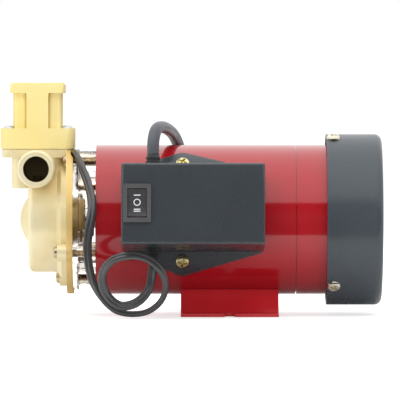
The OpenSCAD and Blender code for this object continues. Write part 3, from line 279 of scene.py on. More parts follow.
LEAD_START = Vector((-90.2, -2.5, 94.5))
LEAD_POINTS = [
    (-90.1, -3.9, 92.6), (-89.6, -7, 91.8), (-88.6, -11.3, 91.7), (-87.9, -16.5, 91.8),
    (-86.9, -21.6, 91.6), (-85.6, -26.3, 89.3), (-83.8, -30, 85.2), (-82, -33, 81),
    (-80, -37, 75.5), (-78.3, -42, 69.5), (-77.4, -46.3, 63.5), (-77.8, -48.7, 57),
    (-79, -50, 50), (-80, -50, 41),
    (-79.5, -50, 31.5), (-77.5, -50, 22), (-74, -51, 14.5), (-69.5, -52, 8.5),
    (-63.5, -53.5, 4), (-55, -55, 2.5), (-46, -57, 4), (-39, -60, 9.5), (-36, -64, 17),
    (-37, -67, 24), (-41, -70, 30.5), (-46.5, -71.5, 34.5), (-52.5, -72, 36),
    (-59, -71, 35.5), (-65, -69, 33.5), (-69.5, -66, 29), (-71.5, -63, 23.5),
    (-70.5, -60, 16.5), (-67, -59, 11), (-62, -59.5, 7.5), (-57, -60.5, 7.5),
    (-52, -62, 9.5), (-47.5, -62.5, 13.5), (-45, -63, 18), (-44, -63, 23)]
LEAD_TURN = from_box(BUSH_X, -BOX_H / 2 - LEAD_BUSH_OUT - LEAD_STRAIGHT, BUSH_L)
LEAD_EXIT = from_box(BUSH_X, -BOX_H / 2 - LEAD_BUSH_OUT, BUSH_L)

# How the flat lead lies: (route point, degrees), 0 with its broad side to the viewer
LEAD_FACING = [(0, 90), (5, 80), (9, 35), (12, 5), (15, 30), (18, 82), (23, 80), (26, 20),
               (29, 45), (32, 20), (35, -10), (38, 40), (40, 5), (41, 0)]
SIGHT = Vector((0, 1, 0))
# Sine of the least angle to the line of sight at which a lead's facing can be told
FACING_LEAST = 0.35


def round_section(r):
    sides = 20
    return [(r * c, r * s) for c, s in circle(sides)]


def twin_section(wide, thick):
    """Section of a flat twin lead: two round cores side by side with a shallow groove between."""
    r = thick / 2
    off = wide / 2 - r
    groove_share, groove_narrowness, steps = 0.16, 3.2, 32
    out = []
    for x, y in circle(steps):
        reach = off * abs(x) + sqrt(max(r * r - off * off * y * y, 0))
        waist = 1 - groove_share * max(0.0, 1 - abs(x) * groove_narrowness)
        out.append((reach * x, reach * y * waist))
    return out


def facing_turns(points, facing, parts):
    """Rolls for swept_tube that turn a section's wide axis by given angles from the view plane."""
    ways = route_ways(points)
    flats = [way.cross(SIGHT) for way in ways]
    side = ways[0].orthogonal().normalized()
    turns, last = [], 0.0
    for i, (way, flat) in enumerate(zip(ways, flats)):
        side = (side - way * side.dot(way)).normalized()
        over = way.cross(side)
        at = i / parts
        for (p0, a0), (p1, a1) in zip(facing, facing[1:]):
            if at <= p1:
                t = (at - p0) / (p1 - p0)
                wanted = radians(a0 + (a1 - a0) * (3 * t * t - 2 * t**3))
                break
        if flat.length > FACING_LEAST:
            flat = flat.normalized()
            aim = flat * cos(wanted) + way.cross(flat) * sin(wanted)
            turn = atan2(aim.dot(over), aim.dot(side))
            last = turn + pi * round((last - turn) / pi)
        turns.append(last)
    first = next(i for i, flat in enumerate(flats) if flat.length > FACING_LEAST)
    return [turns[first]] * first + turns[first:]


def make_mains(material):
    """The mains cord from the box's bush, over the motor, through the hank and into the plug."""
    parts, steps = 5, 108
    start = smooth_route([MAINS_EXIT, MAINS_TURN] + MAINS_POINTS
                         + [HANK_START, hank_place(0)], parts)[:-1]
    wound = [hank_place(HANK_TURNS * i / steps) for i in range(steps)]
    # The last place lies a hair short of the end, where the near fold would begin
    wound.append(hank_place(HANK_TURNS - 0.0001))
    tail = smooth_route([HANK_END] + [Vector(p) + Vector((0, 0, HANK_END.z)) for p in TAIL_POINTS]
                        + [Vector((0, PLUG_ENTRY_Y - 2 * MAINS_D, PLUG_Z)),
                           Vector((0, PLUG_ENTRY_Y, PLUG_Z))], parts)
    route = [p * MM for p in start + wound + tail]
    piece = swept_tube("mains_cord", route, round_section(MAINS_D / 2 * MM))
    finish_piece(piece, material,
                 replaces=("mains_lead", "mains_hank", "plug_lead"))
    return piece, route


def make_lead(material):
    """The flow switch's flat lead, from the switch down and through its loop to the box."""
    parts = 4
    route = smooth_route([LEAD_START] + LEAD_POINTS + [LEAD_TURN, LEAD_EXIT], parts)
    route = [p * MM for p in route]
    turns = facing_turns(route, LEAD_FACING, parts)
    piece = swept_tube("flow_switch_lead", route,
                       twin_section(LEAD_WIDE * MM, LEAD_THICK * MM), turns)
    finish_piece(piece, material, replaces=("switch_lead",))
    return piece, route


# Screws

SCREW_CREASE = 40


def clamp(value):
    return max(0.0, min(1.0, value))


def pan_screw(head_r, head_h, shank_r, shank_len, seat, way, ridged=False, roll=0.4):
    """Cross-recessed pan head screw. The head lies on the seat and way points out of it."""
    way = Vector(way).normalized()
    side = Matrix.Rotation(roll, 3, way) @ way.orthogonal().normalized()
    over = way.cross(side)
    rings, steps = 15, 48
    wing_len, wing_w, depth = 0.62 * head_r, 0.13 * head_r, 0.62 * head_h
    wing_edge, wing_slope, wing_end = 0.12, 0.2, 0.12 * head_r
    rim_h, dome_power = 0.28 * head_h, 5
    pitch, thread_depth = 0.7, 0.28
    verts = []

    def put(x, y, z):
        verts.append((Vector(seat) + side * x + over * y + way * z) * MM)

    def put_ring(r, z):
        for c, s in circle(steps):
            put(r * c, r * s, z)

    put(0, 0, head_h - depth)
    for i in range(1, rings + 1):
        r = head_r * i / rings
        dome = head_h * (1 - (r / head_r) ** dome_power) ** 0.5 if i < rings else rim_h
        for c, s in circle(steps):
            x, y = r * c, r * s
            inside = clamp((wing_w + wing_edge - min(abs(x), abs(y))) / wing_slope)
            inside *= clamp((wing_len - r) / wing_end)
            put(x, y, max(dome, rim_h) - depth * inside)
    put_ring(head_r, 0)
    put_ring(shank_r, 0)
    turns = int(shank_len / (pitch / 2)) if ridged else 1
    for i in range(1, turns + 1):
        put_ring(shank_r - (thread_depth if ridged and i % 2 else 0), -shank_len * i / turns)
    levels = rings + 2 + turns
    faces = [(0, 1 + k, 1 + (k + 1) % steps) for k in range(steps)]
    faces += side_faces(levels, steps, base=1)
    faces.append(tuple(1 + (levels - 1) * steps + k for k in range(steps - 1, -1, -1)))
    piece = mesh_piece("screw", verts, faces)
    set_smooth_by_angle(piece, SCREW_CREASE)
    return piece


def join_pieces(name, pieces):
    """One piece out of several meshes."""
    verts, faces = [], []
    for piece in pieces:
        base = len(verts)
        verts += [v.co.copy() for v in piece.data.vertices]
        faces += [tuple(base + i for i in f.vertices) for f in piece.data.polygons]
        bpy.data.objects.remove(piece)
    made = mesh_piece(name, verts, faces)
    set_smooth_by_angle(made, SCREW_CREASE)
    return made


def out_of_motor(angle):
    """Way out of the motor's axis, the angle turning from the viewer's side up."""
    return Vector((0, -cos(radians(angle)), sin(radians(angle))))


def on_motor(x, r, angle):
    return Vector((x, 0, AXIS_H)) + out_of_motor(angle) * r


def make_screws(brass, nickel, steel, dull_steel):
    """The outer screws, each with its head's radius and height and its shank's."""
    cover = [pan_screw(3.85, 2.4, 2, 6, on_motor(COVER_SCREW_X, COVER_R, angle),
                       out_of_motor(angle), roll=roll)
             for angle, roll in ((72, 0.3), (192, 0.9), (312, 0.55))]
    saddle = [pan_screw(4.1, 2.6, 1.9, 4.2, on_motor(SADDLE_SCREW_X, SADDLE_OUT_R, angle),
                        out_of_motor(angle), roll=roll)
              for angle, roll in ((45.8, 0.1), (-29.8, 0.5))]
    casing = [pan_screw(3.5, 2.2, 2, BOLT_END_X - seat_x,
                        on_motor(seat_x, BOLT_R, BOLT_ANGLE + 90 * k),
                        (-1, 0, 0), ridged=True, roll=0.5 * k)
              for k, seat_x in enumerate((BOSS_SEAT_X, FLANGE_SEAT_X, FLANGE_SEAT_X,
                                          BOSS_SEAT_X))]
    ears = [pan_screw(3.4, 2, 1.7, 15.9, (HEAD_X + sx * EAR_X, sy * EAR_Y, EAR_TOP_Z),
                      (0, 0, 1), roll=0.3 + sx + sy) for sx in (-1, 1) for sy in (-1, 1)]
    for name, screws, material, slot, stands_for in (
            ("cover_screw_set", cover, nickel, "steel_bright", "fan_cover_screws"),
            ("saddle_screw_set", saddle, brass, "screw_brass", "saddle_screws"),
            ("casing_screw_set", casing, dull_steel, "screw_brass", "casing_screws"),
            ("switch_screw_set", ears, steel, "steel_bright", "switch_screws")):
        finish_piece(join_pieces(name, screws), material, replaces=(stands_for,))


# Rocker marks

def rocker_mark_place(u, v):
    """A place on the rocker's dished face, u along the motor and v up, in millimetres."""
    fall = ROCKER_DISH_R - sqrt(ROCKER_DISH_R * ROCKER_DISH_R - v * v)
    return from_box(SWITCH_L + u, v, PIVOT_L + ROCKER_STAND + fall)


def make_marks(material):
    """The marks I, O and II, raised a hair above the rocker's dished face."""
    lift = BOX_OUT * 0.03
    bar_wide, bar_high, bar_places = 3.7, 0.5, (4.4, -3.5, -4.6)
    ring_v, ring_radii, steps = 0.45, (1.5, 1.95), 40
    verts, faces = [], []

    def put(u, v):
        for rise in (0, 1):
            verts.append((rocker_mark_place(u, v) + lift * rise) * MM)

    for bar_v in bar_places:
        loop = [len(verts) + 2 * i for i in range(4)]
        top = [i + 1 for i in loop]
        for du, dv in ((-1, -1), (1, -1), (1, 1), (-1, 1)):
            put(du * bar_wide / 2, bar_v + dv * bar_high / 2)
        faces.append(tuple(top))
        faces.append(tuple(reversed(loop)))
        for i in range(4):
            j = (i + 1) % 4
            faces.append((loop[i], loop[j], top[j], top[i]))

    base = len(verts)
    for k, (c, s) in enumerate(circle(steps)):
        for r in ring_radii:
            put(r * c, ring_v + r * s)
        a, b = base + 4 * k, base + 4 * ((k + 1) % steps)
        faces += [(a + 1, b + 1, b + 3, a + 3), (a, a + 2, b + 2, b),
                  (a, b, b + 1, a + 1), (a + 2, a + 3, b + 3, b + 2)]
    finish_piece(mesh_piece("rocker_marks", verts, faces, smooth=False), material,
                 body="rocker")


# Bushes, plug and hank tie

def bush_outline(cord_r, out_len, in_len):
    """Outline of a bush along the cord: inside stub, groove at the wall, ribs, tapered nose."""
    collar_r, neck_r = BUSH_COLLAR_R, BUSH_NECK_R
    groove_from, groove_to, collar_to, nose_len = -1.95, 0.05, 1.0, 0.6
    ribs, rib_depth, nose_wall = 2, 0.45, 0.55
    out = [(-in_len, cord_r + 0.1), (-in_len, collar_r - 0.2), (-in_len + 0.3, collar_r),
           (groove_from, collar_r), (groove_from, neck_r), (groove_to, neck_r),
           (groove_to, collar_r), (collar_to, collar_r)]
    pitch = (out_len - collar_to - nose_len) / ribs
    for i in range(ribs):
        at = collar_to + i * pitch
        r = collar_r - (collar_r - cord_r - nose_wall) * (i / ribs)
        out += [(at, r - rib_depth), (at + 0.35 * pitch, r - rib_depth), (at + 0.45 * pitch, r),
                (at + 0.95 * pitch, r)]
    out += [(out_len - 0.3, cord_r + 0.45), (out_len, cord_r + 0.25), (out_len, cord_r - 0.1)]
    return [(z * MM, r * MM) for z, r in out]


def make_bushes(material):
    for name, side, cord_r, out_len, in_len in (
            ("lead_bush", -1, 1.9, LEAD_BUSH_OUT, 8), ("mains_bush", 1, 3.2, MAINS_BUSH_OUT, 14)):
        seat = from_box(BUSH_X, side * BOX_H / 2, BUSH_L) * MM
        piece = turned(name + "_ribbed", bush_outline(cord_r, out_len, in_len),
                       seat, BOX_UP * side)
        set_smooth_by_angle(piece)
        finish_piece(piece, material, replaces=(name,))


def make_plug(material):
    """Round moulded plug with finger ribs round its waist and a domed grip."""
    sleeve_ribs, sleeve_groove, grip_ribs, grip_groove = 5, 0.7, 4, 0.5
    outline = [(0, 3.0), (0, 4.6), (0.6, 5.4)]
    for i in range(sleeve_ribs):
        at, r = 1.2 + 2.8 * i, 5.6 + 0.12 * i
        outline += [(at, r), (at + 1.3, r), (at + 1.5, r - sleeve_groove),
                    (at + 2.5, r - sleeve_groove)]
    outline += [(15.6, 6.4), (17.6, 6.7), (19.4, 8.2), (21, 10.8), (22.8, 13.8), (24, 15.7),
                (25, 17.1), (26.2, 17.8), (27.6, PLUG_R)]
    for i in range(grip_ribs):
        at = 28.6 + 2.2 * i
        outline += [(at, PLUG_R), (at + 0.3, PLUG_R - grip_groove),
                    (at + 0.8, PLUG_R - grip_groove), (at + 1.1, PLUG_R)]
    outline += [(PLUG_LEN - 1.4, PLUG_R), (PLUG_LEN - 0.4, PLUG_R - 0.4),
                (PLUG_LEN, PLUG_R - 1.2), (PLUG_LEN, 3)]
    piece = turned("round_plug", [(z * MM, r * MM) for z, r in outline],
                   mm(0, PLUG_ENTRY_Y, PLUG_Z), (0, 1, 0), steps=72)
    set_smooth_by_angle(piece, degrees=50)
    return finish_piece(piece, material, replaces=("plug_body",))


def make_tie(material):
    """Strap round the hank, with rounded corners and a raised bead along each edge."""
    half, low, high, thick, wide = 7.9, 1.1, 28.0, 1.0, 8.0
    bend, bend_steps = 2, 5
    # Places across the strap, and how far its skin lies under the full thickness there
    profile = ((0, 0.25), (0.5, 0), (1.1, 0), (1.5, 0.2), (6.5, 0.2), (6.9, 0), (7.5, 0),
               (wide, 0.25))
    y0 = HANK_Y + HANK_RUN / 2 - wide / 2
    inner, outer = [], []
    for x, z, first in ((half - bend, high - bend, 0), (bend - half, high - bend, 90),
                        (bend - half, low + bend, 180), (half - bend, low + bend, 270)):
        for k in range(bend_steps + 1):
            angle = radians(first + 90 / bend_steps * k)
            for ring, r in ((inner, bend), (outer, bend + thick)):
                ring.append((x + r * cos(angle), z + r * sin(angle)))
    verts = []
    for y, sunk in profile:
        share = (thick - sunk) / thick
        verts += [mm(xi + (xo - xi) * share, y0 + y, zi + (zo - zi) * share)
                  for (xi, zi), (xo, zo) in zip(inner, outer)]
    for y in (wide, 0):
        verts += [mm(x, y0 + y, z) for x, z in inner]
    levels, steps = len(profile) + 2, len(inner)
    faces = side_faces(levels, steps, flip=True)
    end = (levels - 1) * steps
    faces += [(end + k, end + (k + 1) % steps, (k + 1) % steps, k) for k in range(steps)]
    piece = mesh_piece("hank_strap", verts, faces)
    set_smooth_by_angle(piece, degrees=30)
    return finish_piece(piece, material, replaces=("hank_tie",))


# Width of the small rounds on the CAD pieces' sharp edges, in millimetres
EDGE_ROUNDS = {
    "pump_casing": 0.5, "lantern": 0.3, "foot": 0.35, "saddle_plate": 0.4, "control_box": 0.6,
    "rocker_frame": 0.3, "rocker": 0.7, "switch_housing": 0.5, "switch_lid": 0.5,
    "casing_cover": 0.3,
}
WELD_REACH, ROUND_SEGMENTS, ROUND_CREASE = 0.01, 3, radians(38)


def round_edges(name, width):
    """Small rounds on a CAD piece's sharp edges, as its mould or tool leaves them."""
    piece = NODES[name]
    weld = piece.modifiers.new("weld", "WELD")
    weld.merge_threshold = WELD_REACH * MM
    edge = piece.modifiers.new("edge_round", "BEVEL")
    edge.width = width * MM
    edge.segments = ROUND_SEGMENTS
    edge.limit_method = "ANGLE"
    edge.angle_limit = ROUND_CREASE
    edge.use_clamp_overlap = True
    edge.harden_normals = True


# Shader node groups

def new_group(name, inputs, outputs):
    tree = bpy.data.node_groups.new(name, "ShaderNodeTree")
    for label, kind, value in inputs:
        socket = tree.interface.new_socket(label, in_out="INPUT", socket_type=kind)
        socket.default_value = value
    for label, kind in outputs:
        tree.interface.new_socket(label, in_out="OUTPUT", socket_type=kind)
    return tree, tree.nodes.new("NodeGroupInput"), tree.nodes.new("NodeGroupOutput")


def node(tree, kind, **values):
    made = tree.nodes.new(kind)
    for key, value in values.items():
        setattr(made, key, value)
    return made


def set_inputs(made, **values):
    """Set a node's sockets. An underscore stands for the space in a label."""
    for key, value in values.items():
        made.inputs[key.replace("_", " ")].default_value = value


def make_mottle():
    """Slow, uneven change over a surface, such as a casting's colour or a finger-worn gloss."""
    tree, given, out = new_group("mottle", [
        ("Scale", "NodeSocketFloat", 60), ("Detail", "NodeSocketFloat", 4),
        ("Low", "NodeSocketFloat", 0), ("High", "NodeSocketFloat", 1)],
        [("Value", "NodeSocketFloat")])
    link = tree.links.new
    place = node(tree, "ShaderNodeTexCoord")
    noise = node(tree, "ShaderNodeTexNoise")
    span = node(tree, "ShaderNodeMapRange")
    set_inputs(span, From_Min=0.3, From_Max=0.7)
    link(place.outputs["Object"], noise.inputs["Vector"])
    link(given.outputs["Scale"], noise.inputs["Scale"])
    link(given.outputs["Detail"], noise.inputs["Detail"])
    link(noise.outputs["Fac"], span.inputs["Value"])
    link(given.outputs["Low"], span.inputs["To Min"])
    link(given.outputs["High"], span.inputs["To Max"])
    link(span.outputs["Result"], out.inputs["Value"])
    return tree


def make_grain():
    """Fine relief of a blasted, moulded or painted skin, as a height."""
    tree, given, out = new_group("grain", [
        ("Fine Scale", "NodeSocketFloat", 2500), ("Coarse Scale", "NodeSocketFloat", 400),
        ("Fine Share", "NodeSocketFloat", 0.5)],
        [("Height", "NodeSocketFloat")])
    link = tree.links.new
    place = node(tree, "ShaderNodeTexCoord")
    blend = node(tree, "ShaderNodeMix", data_type="FLOAT")
    for label, detail, end in (("Fine Scale", 3, "B"), ("Coarse Scale", 2, "A")):
        noise = node(tree, "ShaderNodeTexNoise")
        set_inputs(noise, Detail=detail)
        link(place.outputs["Object"], noise.inputs["Vector"])
        link(given.outputs[label], noise.inputs["Scale"])
        link(noise.outputs["Fac"], blend.inputs[end])
    link(given.outputs["Fine Share"], blend.inputs["Factor"])
    link(blend.outputs["Result"], out.inputs["Height"])
    return tree


def make_edge_wear_and_highlight():
    """Mask of outer edges, broken up, where a finish rubs thin, and where the dark plastic gets a
    painted highlight along the edge.
    """
    tree, given, out = new_group("edge_wear_and_highlight", [
        ("Radius", "NodeSocketFloat", 0.0006), ("Amount", "NodeSocketFloat", 1)],
        [("Mask", "NodeSocketFloat")])
    link = tree.links.new
    surface = node(tree, "ShaderNodeNewGeometry")
    rounded = node(tree, "ShaderNodeBevel", samples=4)
    dot = node(tree, "ShaderNodeVectorMath", operation="DOT_PRODUCT")
    bent = node(tree, "ShaderNodeMapRange")
    # The cosine between the true and the rounded normal falls as an edge comes near
    set_inputs(bent, From_Min=1.0, From_Max=0.9)
    place = node(tree, "ShaderNodeTexCoord")
    noise = node(tree, "ShaderNodeTexNoise")
    set_inputs(noise, Scale=700)
    speck = node(tree, "ShaderNodeMapRange")
    set_inputs(speck, From_Min=0.35, From_Max=0.65)
    both = node(tree, "ShaderNodeMath", operation="MULTIPLY")
    final = node(tree, "ShaderNodeMath", operation="MULTIPLY")
    link(given.outputs["Radius"], rounded.inputs["Radius"])
    link(rounded.outputs["Normal"], dot.inputs[0])
    link(surface.outputs["Normal"], dot.inputs[1])
    link(dot.outputs["Value"], bent.inputs["Value"])
    link(place.outputs["Object"], noise.inputs["Vector"])
    link(noise.outputs["Fac"], speck.inputs["Value"])
    link(bent.outputs["Result"], both.inputs[0])
    link(speck.outputs["Result"], both.inputs[1])
    link(both.outputs["Value"], final.inputs[0])
    link(given.outputs["Amount"], final.inputs[1])
    link(final.outputs["Value"], out.inputs["Mask"])
    return tree


MOTTLE = make_mottle()
GRAIN = make_grain()
EDGE_WEAR_AND_HIGHLIGHT = make_edge_wear_and_highlight()


def use_group(tree, group, **values):
    made = tree.nodes.new("ShaderNodeGroup")
    made.node_tree = group
    set_inputs(made, **values)
    return made


# Materials

def new_material(name):
    """A material with its node tree and its surface shader."""
    material = bpy.data.materials.new(name)
    material.use_nodes = True
    return material, material.node_tree, material.node_tree.nodes["Principled BSDF"]


def lay_over(tree, mask, under, over):
    """Colour that goes from under, a tone or a socket, to the tone over as its mask rises."""
    mix = node(tree, "ShaderNodeMix", data_type="RGBA")
    tree.links.new(mask, mix.inputs["Factor"])
    if isinstance(under, tuple):
        mix.inputs["A"].default_value = under
    else:
        tree.links.new(under, mix.inputs["A"])
    mix.inputs["B"].default_value = over
    return mix.outputs["Result"]


def add_relief(tree, height, strength, distance, normal=None):
    """Normal of a surface with a height laid on it, over another relief if there is one."""
    bump = node(tree, "ShaderNodeBump")
    set_inputs(bump, Strength=strength, Distance=distance)
    tree.links.new(height, bump.inputs["Height"])
    if normal is not None:
        tree.links.new(normal, bump.inputs["Normal"])
    return bump.outputs["Normal"]


def finish_material(name, pale, deep, rough, metallic=0.0, mottle_scale=60.0, rough_spread=0.06,
                    grain=(2500, 400, 0.5), relief=0.1, relief_depth=0.00005,
                    wear_and_highlight_tone=None, wear_and_highlight=0.0, wear_and_highlight_radius=0.0005, coat=0.0, coat_rough=0.03,
                    specular=0.5, thread=None, tints_and_shade=()):
    """A surface whose colour drifts from pale to deep, with uneven gloss, relief and a paler edge
    tone, which stands for edge wear and, on the dark plastic, for a painted highlight.

    grain holds the fine scale, the coarse scale and the fine one's share. Lengths are in metres.
    thread is a function that gives a height of its own, which is cut into the relief.
    The last argument holds pairs of a function that gives a mask and the colour that it lays over
    the rest; the colour is a tint of the surface itself, and for the spouts' bores painted shade.
    """
    material, tree, shader = new_material(name)
    link = tree.links.new
    set_inputs(shader, Metallic=metallic, Specular_IOR_Level=specular, Coat_Weight=coat,
               Coat_Roughness=coat_rough)
    drift = use_group(tree, MOTTLE, Scale=mottle_scale)
    tone = lay_over(tree, drift.outputs["Value"], pale, deep)
    if wear_and_highlight_tone:
        rubbed_and_lit = use_group(tree, EDGE_WEAR_AND_HIGHLIGHT, Radius=wear_and_highlight_radius, Amount=wear_and_highlight)
        tone = lay_over(tree, rubbed_and_lit.outputs["Mask"], tone, wear_and_highlight_tone)
    for mask, patch_tone in tints_and_shade:
        tone = lay_over(tree, mask(tree), tone, patch_tone)
    link(tone, shader.inputs["Base Color"])
    gloss = use_group(tree, MOTTLE, Scale=mottle_scale * 3, Low=rough - rough_spread,
                      High=rough + rough_spread)
    link(gloss.outputs["Value"], shader.inputs["Roughness"])
    skin = use_group(tree, GRAIN, Fine_Scale=grain[0], Coarse_Scale=grain[1], Fine_Share=grain[2])
    normal = add_relief(tree, skin.outputs["Height"], relief, relief_depth)
    if thread:
        normal = add_relief(tree, thread(tree), 1.0, THREAD_RELIEF * MM, normal)
    link(normal, shader.inputs["Normal"])
    return material


def math_maker(tree):
    """A function that adds a math node and gives its output. Its inputs are numbers or sockets."""
    def math(kind, a, b=None, clamp=False):
        made = node(tree, "ShaderNodeMath", operation=kind, use_clamp=clamp)
        for socket, value in zip(made.inputs, (a, b)):
            if isinstance(value, (int, float)):
                socket.default_value = value
            elif value is not None:
                tree.links.new(value, socket)
        return made.outputs["Value"]
    return math


def around_spouts(tree):
    """A math maker, and sockets for a place's x, y, z and distance from the spouts' axis."""
    math = math_maker(tree)
    place = node(tree, "ShaderNodeTexCoord")
    parts = node(tree, "ShaderNodeSeparateXYZ")
    tree.links.new(place.outputs["Object"], parts.inputs["Vector"])
    x = math("SUBTRACT", parts.outputs["X"], HEAD_X * MM)
    z = math("SUBTRACT", parts.outputs["Z"], SPOUT_Z * MM)
    reach = math("SQRT", math("ADD", math("MULTIPLY", x, x), math("MULTIPLY", z, z)))
    return math, x, parts.outputs["Y"], z, reach


def bore_painted_shade(tree):
    """Mask of painted shade in the spouts' bores, darker further in from the spouts' ends."""
    math, _, y, _, reach = around_spouts(tree)
    deep = math("SUBTRACT", SPOUT_END_Y * MM, math("ABSOLUTE", y))
    depth = math("MULTIPLY", math("DIVIDE", deep, BORE_SHADE_DEPTH * MM, clamp=True), 0.93)
    return math("MULTIPLY", math("LESS_THAN", reach, BORE_R * MM), depth)


def turned_rim(tree):
    """Mask of the flange's turned rim, where the brass is bare and deeper in colour."""
    math, x, _, _, _ = around_spouts(tree)
    return math("MULTIPLY", math("GREATER_THAN", x, RIM_X * MM), 0.8)


def spout_thread(tree):
    """Height of the pipe thread, only on the threaded length of the spouts."""
    math, x, y, z, reach = around_spouts(tree)
    out = math("ABSOLUTE", y)
    turn = math("MULTIPLY", math("ARCTAN2", z, x), THREAD_PITCH * MM / (2 * pi))
    ramp = math("DIVIDE", math("ADD", y, turn), THREAD_PITCH * MM)
    saw = math("PINGPONG", ramp, 0.5)
    on_wall = math("MULTIPLY", math("GREATER_THAN", reach, THREAD_IN_R * MM),
                   math("LESS_THAN", reach, THREAD_OUT_R * MM))
    on_spout = math("MULTIPLY", math("GREATER_THAN", out, THREAD_FROM_Y * MM),
                    math("LESS_THAN", out, THREAD_TO_Y * MM))
    return math("MULTIPLY", saw, math("MULTIPLY", on_wall, on_spout))


def make_glass(name, tone, rough, ior=1.49):
    """A clear material, its colour and gloss slightly uneven and its skin slightly wavy."""
    material, tree, shader = new_material(name)
    link = tree.links.new
    set_inputs(shader, Transmission_Weight=1.0, IOR=ior)
    drift = use_group(tree, MOTTLE, Scale=90)
    deep = tuple(c * 0.9 for c in tone[:3]) + (1,)
    link(lay_over(tree, drift.outputs["Value"], tone, deep), shader.inputs["Base Color"])
    gloss = use_group(tree, MOTTLE, Scale=200, Low=rough * 0.6, High=rough * 1.6)
    link(gloss.outputs["Value"], shader.inputs["Roughness"])
    skin = use_group(tree, GRAIN, Fine_Scale=900, Coarse_Scale=160, Fine_Share=0.3)
    link(add_relief(tree, skin.outputs["Height"], 0.15, 0.2 * MM), shader.inputs["Normal"])
    return material


# Finishes, with what those of one kind share given once

SCREW_KIND = dict(metallic=1.0, mottle_scale=300, grain=(2500, 900, 0.5), wear_and_highlight=0.5,
                  wear_and_highlight_radius=0.0003)
PAINT_KIND = dict(mottle_scale=25, rough_spread=0.03, grain=(1200, 260, 0.3), relief=0.05,
                  relief_depth=0.0002, wear_and_highlight=0.5)
SMOOTH_KIND = dict(grain=(2600, 500, 0.5), relief_depth=0.0001)
GRAINED_KIND = dict(grain=(2200, 500, 0.6), relief_depth=0.0001)
RUBBER_KIND = dict(mottle_scale=120, grain=(2400, 600, 0.6), relief=0.2, relief_depth=0.0001)
CORD_KIND = dict(mottle_scale=90, grain=(2000, 500, 0.5), relief_depth=0.0001)

# The cast brass lays painted shade in the spouts' bores, darker further in from their ends.
CAST_BRASS = finish_material(
    "cast_brass", srgb(250, 239, 203), srgb(238, 221, 170), 0.46, metallic=0.4, mottle_scale=45,
    grain=(3000, 700, 0.55), relief=0.4, relief_depth=0.0002, wear_and_highlight_tone=srgb(254, 248, 224),
    wear_and_highlight=0.6, thread=spout_thread,
    tints_and_shade=((turned_rim, srgb(226, 186, 98)), (bore_painted_shade, srgb(104, 84, 46))))
SCREW_BRASS = finish_material(
    "screw_brass", srgb(240, 229, 176), srgb(220, 206, 146), 0.2, relief=0.05,
    wear_and_highlight_tone=srgb(252, 246, 216), **SCREW_KIND)
SCREW_NICKEL = finish_material(
    "screw_nickel", srgb(240, 236, 218), srgb(216, 210, 190), 0.22, relief=0.05,
    wear_and_highlight_tone=srgb(250, 248, 236), **SCREW_KIND)
RED_PAINT = finish_material(
    "red_paint", srgb(178, 25, 35), srgb(168, 21, 31), 0.15, wear_and_highlight_tone=srgb(196, 70, 70),
    coat=0.6, coat_rough=0.04, **PAINT_KIND)
# The foot has the motor's red paint; this lighter copy is painted light on the foot's front face.
FOOT_RED_PAINTED_LIGHT = finish_material(
    "foot_red_painted_light", srgb(214, 44, 52), srgb(204, 38, 46), 0.2, wear_and_highlight_tone=srgb(218, 90, 90),
    coat=0.5, coat_rough=0.05, **PAINT_KIND)
# Its pale edge tone is a painted highlight along the rounded edges of the box and the saddle
# plate.
DARK_PLASTIC = finish_material(
    "dark_plastic", srgb(58, 63, 67), srgb(55, 60, 64), 0.28, mottle_scale=40,
    rough_spread=0.015, relief=0.05, wear_and_highlight_tone=srgb(150, 152, 155), wear_and_highlight=0.9,
    wear_and_highlight_radius=0.0007, **SMOOTH_KIND)
COVER_PLASTIC = finish_material(
    "cover_plastic", srgb(68, 75, 80), srgb(63, 70, 76), 0.28, mottle_scale=30,
    rough_spread=0.02, relief=0.06, wear_and_highlight_tone=srgb(120, 126, 134), wear_and_highlight=0.5,
    wear_and_highlight_radius=0.0006, **SMOOTH_KIND)
ROCKER_PLASTIC = finish_material(
    "rocker_plastic", srgb(66, 65, 68), srgb(60, 59, 62), 0.3, mottle_scale=90, relief=0.12,
    wear_and_highlight_tone=srgb(110, 104, 100), wear_and_highlight=0.7, wear_and_highlight_radius=0.0004, **GRAINED_KIND)
SEAL_RUBBER = finish_material(
    "seal_rubber", srgb(226, 212, 160), srgb(210, 194, 140), 0.5, **RUBBER_KIND)
BLACK_PLASTIC = finish_material(
    "black_plastic", srgb(46, 47, 50), srgb(38, 39, 42), 0.4, mottle_scale=80, relief=0.15,
    wear_and_highlight_tone=srgb(90, 92, 95), wear_and_highlight=0.5, **GRAINED_KIND)
BEZEL_PLASTIC = finish_material(
    "bezel_plastic", srgb(82, 82, 83), srgb(76, 76, 77), 0.42, mottle_scale=90, relief=0.15,
    wear_and_highlight_tone=srgb(130, 132, 136), wear_and_highlight=0.5, **GRAINED_KIND)
DULL_SCREW = finish_material(
    "dull_screw", srgb(222, 205, 176), srgb(186, 168, 140), 0.32, relief=0.08,
    wear_and_highlight_tone=srgb(240, 230, 205), **SCREW_KIND)
CREAM_PLASTIC = finish_material(
    "cream_plastic", srgb(244, 227, 158), srgb(240, 220, 144), 0.42, mottle_scale=35,
    grain=(1800, 300, 0.5), relief=0.08, relief_depth=0.0001, wear_and_highlight_tone=srgb(255, 246, 205),
    wear_and_highlight=0.7)
GREY_PLASTIC = finish_material(
    "grey_plastic", srgb(165, 167, 170), srgb(150, 152, 156), 0.4, mottle_scale=60)
RUBBER = finish_material(
    "rubber", srgb(48, 49, 51), srgb(40, 41, 43), 0.5, **RUBBER_KIND)
CORD_SKIN = finish_material(
    "cord_skin", srgb(89, 92, 97), srgb(77, 80, 85), 0.38, relief=0.12, **CORD_KIND)
LEAD_SKIN = finish_material(
    "lead_skin", srgb(68, 68, 69), srgb(58, 58, 60), 0.22, specular=0.9, relief=0.1, **CORD_KIND)
